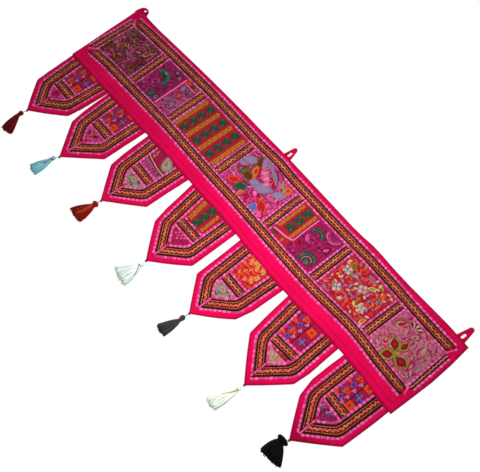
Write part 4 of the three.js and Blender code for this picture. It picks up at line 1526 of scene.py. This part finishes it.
def diamond_column(front, u, v, steps):
    """The charted figure shared by four flaps: diamonds and chevrons on the left, squares on the right."""
    made = []
    for i, step in enumerate((0.0, 0.115, 0.23, 0.33)[:steps]):
        if i % 2 == 0:
            made += motif(front, "triangle", "orange orange red", u + 0.015, v + step, 17, 14, -90)
            made += motif(front, "dot", "blue violet", u - 0.05, v + step + 0.01, 7, 7)
        else:
            made += motif(front, "diamond", "blue violet", u, v + step, 10, 14)
            made += motif(front, "triangle", "orange", u - 0.062, v + step, 10, 12, -90)
        made += motif(front, "triangle", "pale_pink lavender", u + 0.055, v + step + 0.055, 8, 9, 150)
    made += stripe(front, "plum", [(u + 0.095, v - 0.03), (u + 0.1, v + 0.09 * steps - 0.01)], 2.6)
    for i in range(2 * steps - 1):
        made += motif(front, "dot", "magenta", u + 0.0975, v + 0.05 * i, 2.4, 2.4)
    return made


# Large pale leaves of the fifth flap: place, width, length and turn.
CREAM_LEAVES = [
    (4.42, 1.34, 8, 16, 30), (4.5, 1.31, 8, 16, -50), (4.53, 1.35, 8, 16, 40),
    (4.63, 1.33, 8, 16, 10), (4.64, 1.45, 8, 16, -20), (4.62, 1.53, 8, 16, 30),
]

# The flaps with diamonds and squares: where the diamonds start, their steps, the flower's place,
# and how far from it the squares are.
DIAMOND_FLAPS = {
    1: ((0.45, 1.36), 3, (0.64, 1.45), (-0.17, 0.15)),
    2: ((1.39, 1.33), 3, (1.56, 1.42), (-0.17, 0.15)),
    6: ((5.47, 1.31), 4, (5.655, 1.55), (-0.17,)),
    7: ((6.45, 1.3), 4, (6.61, 1.47), (-0.17, 0.15)),
}


def upper_work(flap):
    """The raised motifs of a flap's upper patch."""
    n = flap.number
    front = flap.front
    made = []
    if n in DIAMOND_FLAPS:
        start, steps, right, shifts = DIAMOND_FLAPS[n]
        made += diamond_column(front, *start, steps)
        made += flower(front, "blue violet orange", *right, 15, 8)
        made += motif(front, "dot", "ochre orange", *right, 6, 6)
        for shift in shifts:
            made += motif(front, "square", "orange orange red", right[0] - 0.01, right[1] + shift, 16, 15)
    if n == 3:
        made += motif(front, "paisley", "stone beige grey_leaf", 2.53, 1.35, 38, 40, 62, rim="dark")
        for i in range(14):
            angle = 2 * math.pi * i / 14
            spot = (2.53 + 0.13 * math.cos(angle), 1.35 + 0.1 * math.sin(angle))
            made += motif(front, "dot", "dark", *spot, 2.2, 2.2)
        made += motif(front, "paisley", "beige crimson", 2.31, 1.36, 10, 18, 20)
        made += stripe(front, "cream", [(2.27, 1.44), (2.38, 1.465), (2.5, 1.49), (2.65, 1.495)], 2.2)
        made += stripe(front, "plum", [(2.27, 1.46), (2.38, 1.485), (2.5, 1.51), (2.65, 1.515)], 1.6)
        for i in range(16):
            spot = (2.29 + 0.045 * (i % 8), 1.535 + 0.04 * (i // 8))
            made += motif(front, "dot", "plum" if i % 3 else "dark grey_leaf", *spot, 3.4, 3.4)
    if n == 4:
        for v in (1.295, 1.425, 1.555):
            made += cross_figure(front, 3.5, v, 19)
            for side in (-1, 1):
                made += motif(front, "triangle", "red crimson", 3.5 + side * 0.07, v + 0.065, 8, 8, side * 90)
        band = [(3.34, 1.27), (3.36, 1.42), (3.39, 1.59)]
        made += herringbone(front, "amber ochre", band, 9.0)
        made += stripe(front, "brown", band, 1.5)
        made += herringbone(front, "amber ochre", [(3.62, 1.27), (3.63, 1.42), (3.635, 1.59)], 6.6)
    if n == 5:
        draw = np.random.default_rng(77)
        for i in range(35):
            spot = (4.375 + 0.042 * (i % 7), 1.29 + 0.066 * (i // 7))
            turn = draw.uniform(-30, 80)
            rim = "crimson" if i % 2 else None
            made += motif(front, "leaf", ("orange", "red orange", "salmon")[i % 3], *spot, 5, 12, turn, rim)
        for leaf in CREAM_LEAVES:
            made += motif(front, "leaf", "cream amber", *leaf, rim="crimson")
        made += motif(front, "triangle", "pale_pink", 4.54, 1.57, 6, 8, 10)
    return made


# The middle of each flap's pointed patch, on the chart.
POINT_MIDDLES = [
    (0.505, 1.88), (1.43, 1.87), (2.45, 1.84), (3.51, 1.84), (4.48, 1.88), (5.575, 1.93), (6.48, 1.87),
]


def point_work(flap):
    """The raised motifs of a flap's pointed patch."""
    n = flap.number
    front = flap.front
    made = []
    tip_u, tip_v = POINT_MIDDLES[n - 1]
    if n == 1:
        made += flower(front, "crimson magenta plum", tip_u, tip_v, 19, 6)
    if n == 2:
        made += motif(front, "leaf", "leaf_green", tip_u - 0.05, tip_v, 6, 12, 50)
        made += motif(front, "triangle", "orange ochre", tip_u + 0.01, tip_v + 0.02, 9, 10, 180)
        made += motif(front, "leaf", "plum", tip_u + 0.075, tip_v - 0.01, 6, 13, -50)
    if n in (3, 5):
        made += motif(front, "leaf", "stone beige grey_leaf", tip_u, tip_v, 15, 22, 85)
        chevron = [(tip_u - 0.09, tip_v - 0.035), (tip_u, tip_v + 0.08), (tip_u + 0.09, tip_v - 0.035)]
        made += stripe(front, "dark", chevron, 1.4)
        for i in range(5):
            made += motif(front, "dot", "dark", tip_u - 0.06 + 0.03 * i, tip_v - 0.03, 2, 2)
    if n == 4:
        for i in range(6):
            spot = (tip_u - 0.07 + 0.028 * i, tip_v + (0.02, -0.015)[i % 2])
            made += motif(front, "dot", "pale_pink rose", *spot, 4, 4)
        made += motif(front, "dot", "pale_pink", tip_u, tip_v + 0.06, 4, 4)
    if n == 6:
        for i in range(4):
            shift = 0.03 * i
            ray = [(tip_u - 0.07 + shift, tip_v - 0.03), (tip_u - 0.01 + shift * 0.5, tip_v + 0.03),
                   (tip_u, tip_v + 0.08)]
            made += stripe(front, ("cream", "dusty_pink")[i % 2], ray, 1.8)
        made += motif(front, "paisley", "beige ochre", tip_u + 0.06, tip_v + 0.005, 8, 12, 30)
        made += stripe(front, "rust rust", [(5.5, 1.865), (5.6, 1.855), (5.72, 1.838)], 2.6)
    if n == 7:
        for i in range(5):
            shift = 0.036 * i
            wave = [(tip_u - 0.085 + shift + 0.02 * math.sin(k * 1.6), tip_v - 0.03 + 0.016 * k)
                    for k in range(5)]
            made += stripe(front, ("white", "lavender", "violet")[i % 3], wave, 1.5)
    return made


# Flap patches: the upper ground and its filling, then the pointed ground and its filling.
FLAP_PATCHES = [
    ("crimson_silk", "crimson magenta red", "rose_tip", "crimson rose plum"),
    ("crimson_silk", "crimson magenta red", "rose_tip", "leaf_green orange rose"),
    ("crimson_silk", "crimson plum red", "stone_tip", "stone beige dark"),
    ("red_cotton", "crimson red", "crimson_silk", "pale_pink crimson"),
    ("red_orange", "orange red salmon", "stone_tip", "stone beige grey_leaf"),
    ("crimson_silk", "crimson magenta", "beige_tip", "cream beige dusty_pink"),
    ("crimson_silk", "crimson magenta", "magenta_silk", "white lavender magenta"),
]

PANEL_GRID = (14, 18)
POINT_GRID = (14, 14)
LOWER_GRID = (16, 16)
PANEL_SEEDS = 70
POINT_SEEDS = 26

for flap, (ground, fill, tip_ground, tip_fill) in zip(flaps, FLAP_PATCHES):
    n = flap.number
    panel = flap_panel(flap)
    if n == 3:
        lower = part_place(panel, WHOLE, (0.66, 1))
        flap.pieces.append(patch("flap_3_lower_patch", lower, flap.front, "mauve_dots", *LOWER_GRID))
        panel = part_place(panel, WHOLE, (0, 0.64))
    point = flap_point(flap)
    flap.pieces.append(patch(f"flap_{n}_patch", panel, flap.front, ground, *PANEL_GRID))
    flap.pieces.append(patch(f"flap_{n}_point_patch", point, flap.front, tip_ground, *POINT_GRID))
    work = seeds(panel, flap.front, PANEL_SEEDS, fill.split(), 400 + n)
    work += seeds(point, flap.front, POINT_SEEDS, tip_fill.split(), 500 + n)
    work += upper_work(flap) + point_work(flap)
    flap.pieces.append(joined(f"flap_{n}_motifs", work, EMBROIDERY_THREAD, "pink_cloth"))


# Loops: folded tape, rounded at its edges and stitched round

STITCH_PITCH = 3.4 * MM
STITCH_LONG = 2.3 * MM
STITCH_WIDE = 0.6 * MM
STITCH_RISE = 0.5 * MM
STITCH_LIFT = 0.1 * MM
LOOP_STITCH_PITCH = 2.2 * MM
LOOP_TAPE = 2.5 * MM
LOOP_RIM = 0.8 * MM
LOOP_DEEPER_TONE = 0.5
LOOP_SEAM = 0.8
LOOP_NAMES = ("loop_left", "loop_middle", "loop_right")


def running_stitch(line, surface, colour, off=0.0, pitch=STITCH_PITCH, behind=False):
    """Running stitches along a line on the cloth."""
    count = max(1, int(lengths(line)[-1] / pitch))
    long = STITCH_LONG * pitch / STITCH_PITCH
    points, faces = SHAPES["square"]
    shape = (points, faces[:, ::-1]) if behind else (points, faces)
    rise = -STITCH_RISE if behind else STITCH_RISE
    made = []
    for i in range(count):
        ends = along(line, np.array([(i + 0.15) * pitch, (i + 0.85) * pitch]))
        angle = math.degrees(math.atan2(*(ends[1] - ends[0])[::-1]))
        made.append(stamped(shape, surface, *ends.mean(axis=0), long, STITCH_WIDE, angle, rise, colour, off))
    return made


def dress_loop(name):
    """One loop's tape, and the stitches round what shows of it."""
    shape = front_of(name)
    bmesh.ops.subdivide_edges(shape, edges=shape.edges[:], cuts=2, use_grid_fill=True)
    mesh = bpy.data.meshes.new(name)
    shape.to_mesh(mesh)
    ring = rims(shape)[0][:, [0, 2]]
    shape.free()
    # The whole tape is mixed evenly towards the deep pink.
    set_shade_and_tone(mesh, np.full(len(mesh.vertices), LOOP_DEEPER_TONE))
    surface = mesh_surface(mesh)
    tape = show(name + "_tape", mesh, PINK_COTTON, replaces=[name])
    thicken(tape, LOOP_TAPE, LOOP_RIM, 3)
    centre = (ring.max(axis=0) + ring.min(axis=0)) / 2
    seam = centre + (np.vstack((ring, ring[:1])) - centre) * LOOP_SEAM
    visible = seam[seam[:, 1] > -1 * MM]
    return tape, running_stitch(visible, surface, DYES["hot_pink"], STITCH_LIFT, LOOP_STITCH_PITCH)


loop_stitches = []
for name in LOOP_NAMES:
    tape, stitches = dress_loop(name)
    loop_stitches += stitches
joined("loop_stitches", loop_stitches, EMBROIDERY_THREAD, "pink_cloth")


# Tassels: a knot on the point, a short cord, a bound head and a skirt of threads

# Each row: the head's top from the flap's tip, the head's half width, the neck, the foot's sideways reach,
# the length, the skirt's half width and depth, the slant of its trimmed end, its dye, and the neck's dye.
TASSELS = [
    (-2.5, 9.5, 5, 12, 18, 53, 12.5, 9, -4, "thread_maroon", (138, 14, 18), (92, 8, 14)),
    (-5.8, 8, 4.2, 10, -4, 54, 13, 9, 3, "thread_teal", (150, 236, 250), (92, 96, 160)),
    (-1.1, 8.5, 6.5, 12, -5, 52, 18, 12, 1, "thread_brick", (172, 24, 14), (128, 14, 10)),
    (0.5, 7.5, 4.2, 10, -6.5, 54, 21, 12, 3.5, "thread_mint", (274, 290, 278), (216, 190, 186)),
    (-1.4, 10, 4.8, 15, -6, 53, 12.7, 9, 1, "thread_slate", (73, 75, 78), (150, 18, 30)),
    (-1.7, 8, 3.6, 9, -9, 62, 13, 9, 0, "thread_pale_mint", (296, 308, 288), (240, 212, 166)),
    (-7.2, 5, 11, 11, 10, 42, 22, 15, -3, "thread_black", (5, 0, 1), (8, 0, 2)),
]
# The head's outline from its top to its foot: shares of its half width and of its length.
HEAD_FORM = [
    (0.0, 0.0), (0.42, 0.02), (0.78, 0.12), (1.0, 0.32), (0.92, 0.5), (0.66, 0.68), (0.6, 0.84), (0.74, 1.0),
    (0.0, 1.02),
]
HEAD_SPIN = 14
SKIRT_THREADS = 260
SKIRT_POINTS = 8
HEAD_THREADS = 26
THREAD_HALF = 0.5 * MM
# How much thicker a slot's threads are than the thinnest, and how far their tone strays.
THREAD_SIZES = {"thread_black": 2.0, "thread_mint": 1.5, "thread_pale_mint": 1.5}
COMMON_SIZE = 1.1
PALE_TONES = (0.92, 1.1)
COMMON_TONES = (0.6, 1.3)
PALE_SLOTS = ("thread_mint", "thread_pale_mint")
SPIRAL_TURN = 2.4
WRAP_TURNS = 5
WRAP_POINTS = 66
WRAP_HALF = 0.5 * MM
NECK_SHARE = 0.86
STRING_HALF = 0.42 * MM
STRING_TWIST = 0.35 * MM
KNOT_HALF = 0.75 * MM
STRAY_HALF = 0.6 * MM
STRAY_BOW = 1.4 * MM


# Odd strands of some tassels: start and end across, through and down from the head's top, in
# millimetres, and their colour.
STRAYS = {
    2: [((-1, -5, 8), (0, -8, 30), (96, 84, 150)), ((1, -5, 8), (3, -8, 26), (110, 100, 170)),
        ((-2, -5, 9), (-4, -9, 40), (250, 260, 262)), ((0, -5, 9), (2, -9, 44), (240, 256, 262))],
    3: [((0, -6, 10), (-2, -12, 44), (216, 84, 40)), ((2, -6, 10), (5, -12, 40), (206, 70, 36)),
        ((-2, -6, 10), (-9, -11, 42), (196, 60, 34)), ((1, -6, 10), (1, -13, 46), (226, 96, 50))],
    4: [((-2, -5, 8), (13, -9, 27), (176, 132, 124)), ((-2.5, -4.6, 7), (12, -9, 25), (190, 150, 140))],
    6: [((1, -4.5, 5), (-10, -7, 32), (222, 186, 128)), ((2, -4.5, 6), (-9, -7, 30), (232, 204, 160))],
}


def head_core(top, head, neck):
    """The wound body inside the head's threads."""
    shape = bmesh.new()
    ring = [shape.verts.new((top.x + 0.9 * head * r, top.y, top.z - neck * down)) for r, down in HEAD_FORM]
    lines = [shape.edges.new(pair) for pair in zip(ring, ring[1:])]
    bmesh.ops.spin(shape, geom=ring + lines, cent=top, axis=(0, 0, 1),
                   angle=2 * math.pi, steps=HEAD_SPIN, use_merge=True)
    bmesh.ops.remove_doubles(shape, verts=shape.verts, dist=DOUBLES)
    bmesh.ops.recalc_face_normals(shape, faces=shape.faces)
    points, faces = template(shape)
    return points, faces, points[:, [0, 2]]


def tassel(flap, row):
    """One tassel: the wound head, its wrapped neck, the skirt, the string, the knot and stray threads."""
    shift, drop, head, neck, foot, long, half, deep, slant, slot, colour, neck_colour = row
    head, neck, foot, long, half, deep, slant = (v * MM for v in (head, neck, foot, long, half, deep, slant))
    colour = dye(*colour)
    neck_colour = dye(*neck_colour)
    tones = PALE_TONES if slot in PALE_SLOTS else COMMON_TONES
    thread = THREAD_HALF * THREAD_SIZES.get(slot, COMMON_SIZE)
    draw = np.random.default_rng(700 + flap.number)
    tip = Vector((flap.tip[0], flap.tip_depth, flap.tip[1]))
    top = tip + Vector((shift * MM, 0, -drop * MM))
    # The core is coloured darker than the threads over it: painted shade in the gaps between them.
    parts = [(*head_core(top, head, neck), toned(colour, 0.6))]
    form = np.array(HEAD_FORM[1:-1])
    for i in range(HEAD_THREADS):
        angle = 2 * math.pi * (i + draw.uniform(-0.2, 0.2)) / HEAD_THREADS
        out = np.array([math.cos(angle), math.sin(angle)])
        path = np.column_stack((top.x + out[0] * form[:, 0] * head, top.y + out[1] * form[:, 0] * head * 0.95,
                                top.z - form[:, 1] * neck))
        own = toned(colour, draw.uniform(0.8, 1.15))
        parts.append(tube(path, head * 0.13, 5, own, 1.0, (out[1], -out[0], 0)))
    turns = np.linspace(0, WRAP_TURNS * 2 * math.pi, WRAP_POINTS)
    wrap = np.column_stack((top.x + 0.72 * head * np.cos(turns), top.y + 0.7 * head * np.sin(turns),
                            top.z - neck * np.linspace(0.62, 0.9, WRAP_POINTS)))
    parts.append(tube(wrap, WRAP_HALF, 6, neck_colour, 1.0, (0, 0, 1)))
    low = top + Vector((0, 0, -NECK_SHARE * neck))
    steps = np.linspace(0, 1, SKIRT_POINTS)
    for i in range(SKIRT_THREADS):
        angle = SPIRAL_TURN * i + draw.uniform(-0.2, 0.2)
        reach = math.sqrt((i + 0.5) / SKIRT_THREADS)
        across = math.cos(angle) * reach
        through = math.sin(angle) * reach
        fall = long - neck * NECK_SHARE + draw.normal(0, 1.3 * MM) + slant * across - 0.06 * long * reach
        spread_out = steps ** 0.8 + 0.18 * np.sin(math.pi * steps) * 0.6
        wave = 0.5 * MM * np.sin(steps * draw.uniform(4, 9) + draw.uniform(0, 6)) * steps
        x = low.x + across * (head * 0.62 + (half - head * 0.62) * spread_out) + foot * steps ** 1.15 + wave
        y = low.y + through * (head * 0.6 + (deep - head * 0.6) * spread_out) + wave * 0.6
        path = np.column_stack((x, y, low.z - fall * steps))
        radius = thread * draw.uniform(0.85, 1.2)
        parts.append(tube(path, radius, 4, toned(colour, draw.uniform(*tones))))
    run = np.linspace(0, 1, 14)
    for phase in (0, math.pi):
        cord = np.column_stack((tip.x + (top.x - tip.x) * run + STRING_TWIST * np.cos(run * 16 + phase),
                                tip.y + STRING_TWIST * np.sin(run * 16 + phase),
                                tip.z - 1 * MM + (top.z - 1 * MM - tip.z) * run))
        parts.append(tube(cord, STRING_HALF, 5, toned(colour, 0.85)))
    loop = np.linspace(0, 2 * math.pi, 30)
    knot = np.column_stack((tip.x + 1.25 * MM * (np.sin(loop) + 0.9 * np.sin(2 * loop)),
                            tip.y + 1.5 * MM * np.sin(3 * loop),
                            tip.z - 1.3 * MM + 1.1 * MM * (np.cos(loop) - 0.9 * np.cos(2 * loop))))
    parts.append(tube(knot, KNOT_HALF, 6, toned(DYES["deep_pink"], 0.35)))
    for start, end, stray in STRAYS.get(flap.number, ()):
        t = np.linspace(start[2], end[2], 10)
        share = (t - start[2]) / (end[2] - start[2])
        bow = STRAY_BOW * np.sin(math.pi * share)
        path = np.column_stack((top.x + (start[0] + (end[0] - start[0]) * share) * MM + bow,
                                top.y + (start[1] + (end[1] - start[1]) * share) * MM,
                                top.z - t * MM))
        parts.append(tube(path, STRAY_HALF, 5, dye(*stray)))
    made = joined(f"tassel_{flap.number}_threads", parts, TASSEL_THREAD, slot)
    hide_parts(f"tassel_{flap.number}")
    return made


for flap, row in zip(flaps, TASSELS):
    tassel(flap, row)


# Hems: a fold turned to the back, with a row of stitches on each face

HEM_FOLD = 10.5 * MM
HEM_FRONT = 2.6 * MM
HEM_BACK = 8.4 * MM
HEM_STEP = 6 * MM
FOLD_HALF = 1.3 * MM


def inset(outline, gap):
    """A closed outline moved inwards."""
    after = np.roll(outline, -1, axis=0)
    before = np.roll(outline, 1, axis=0)
    step = (after - before) / np.maximum(np.hypot(*(after - before).T), 1e-9)[:, None]
    normal = np.column_stack((-step[:, 1], step[:, 0]))
    area = np.sum(outline[:, 0] * after[:, 1] - after[:, 0] * outline[:, 1])
    moved = outline + normal * gap * (1 if area > 0 else -1)
    return np.vstack((moved, moved[:1]))


def hem(name, surface, outline):
    """One cloth's hem stitches and, on the back, the edge of its turned fold."""
    even = np.vstack((outline, outline[:1]))
    even = along(even, np.arange(0, lengths(even)[-1], HEM_STEP))
    made = running_stitch(inset(even, HEM_FRONT), surface, toned(DYES["deep_pink"], 0.8), STITCH_LIFT)
    made += running_stitch(
        inset(even, HEM_BACK), surface, toned(DYES["hot_pink"], 0.9), -CLOTH_THICK - STITCH_LIFT, behind=True)
    fold = surface.lay(inset(even, HEM_FOLD), -CLOTH_THICK)
    made.append(tube(fold, FOLD_HALF, 8, toned(DYES["deep_pink"], 0.9), 0.45))
    return joined(name + "_hem", made, EMBROIDERY_THREAD, "pink_cloth")


hem("header", header_front, header_outline)
for flap in flaps:
    flap.pieces.append(hem(f"flap_{flap.number}", flap.front, cad_surface(f"flap_{flap.number}")[1]))


# Floor, light and background

FLOOR_DROP = 2.05
FLOOR_HALF = 4
KEY_PLACE = (0.145, -0.5, -0.19)
KEY_AIM = (0.145, 0, -0.19)
KEY_SIZE = 0.35
KEY_WATTS = 5.4


def stage_floor():
    """A pale floor, well below the valance."""
    shape = bmesh.new()
    bmesh.ops.create_grid(shape, x_segments=1, y_segments=1, size=FLOOR_HALF)
    bmesh.ops.translate(shape, verts=shape.verts, vec=(0, 0, -FLOOR_DROP))
    mesh = bpy.data.meshes.new("floor")
    shape.to_mesh(mesh)
    shape.free()
    material, tree, shader = empty_material("floor_paint", 0.9, 0.0)
    place = node(tree, "TexCoord").outputs["Object"]
    grain = noise(tree, place, 40.0, 4.0)
    colour = mixed(tree, grain, (0.82, 0.82, 0.82, 1), (0.86, 0.86, 0.86, 1))
    finish_material(tree, shader, colour, grain, 0.5 * MM, 0.2)
    mesh.materials.append(material)
    floor = bpy.data.objects.new("floor", mesh)
    bpy.context.scene.collection.objects.link(floor)


def lamp(name, place, aim, size, watts):
    """A square lamp that is not seen itself."""
    data = bpy.data.lights.new(name, "AREA")
    data.shape = "SQUARE"
    data.size = size
    data.energy = watts
    light = bpy.data.objects.new(name, data)
    turned = (Vector(place) - Vector(aim)).to_track_quat("Z", "Y")
    light.matrix_world = Matrix.LocRotScale(Vector(place), turned, None)
    light.visible_camera = False
    bpy.context.scene.collection.objects.link(light)


stage_floor()
lamp("key_light", KEY_PLACE, KEY_AIM, KEY_SIZE, KEY_WATTS)
world = bpy.data.worlds.new("studio")
world.use_nodes = True
background = world.node_tree.nodes["Background"]
background.inputs["Color"].default_value = (1, 1, 1, 1)
background.inputs["Strength"].default_value = 1.0
bpy.context.scene.world = world
bpy.context.scene.view_settings.view_transform = "Standard"


# Each flap's cloth area, and its pieces as a list

for flap in flaps:
    widths = flap.right - flap.left
    area = float(np.sum((widths[1:] + widths[:-1]) / 2 * -np.diff(flap.rows)))
    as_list(flap.pieces)
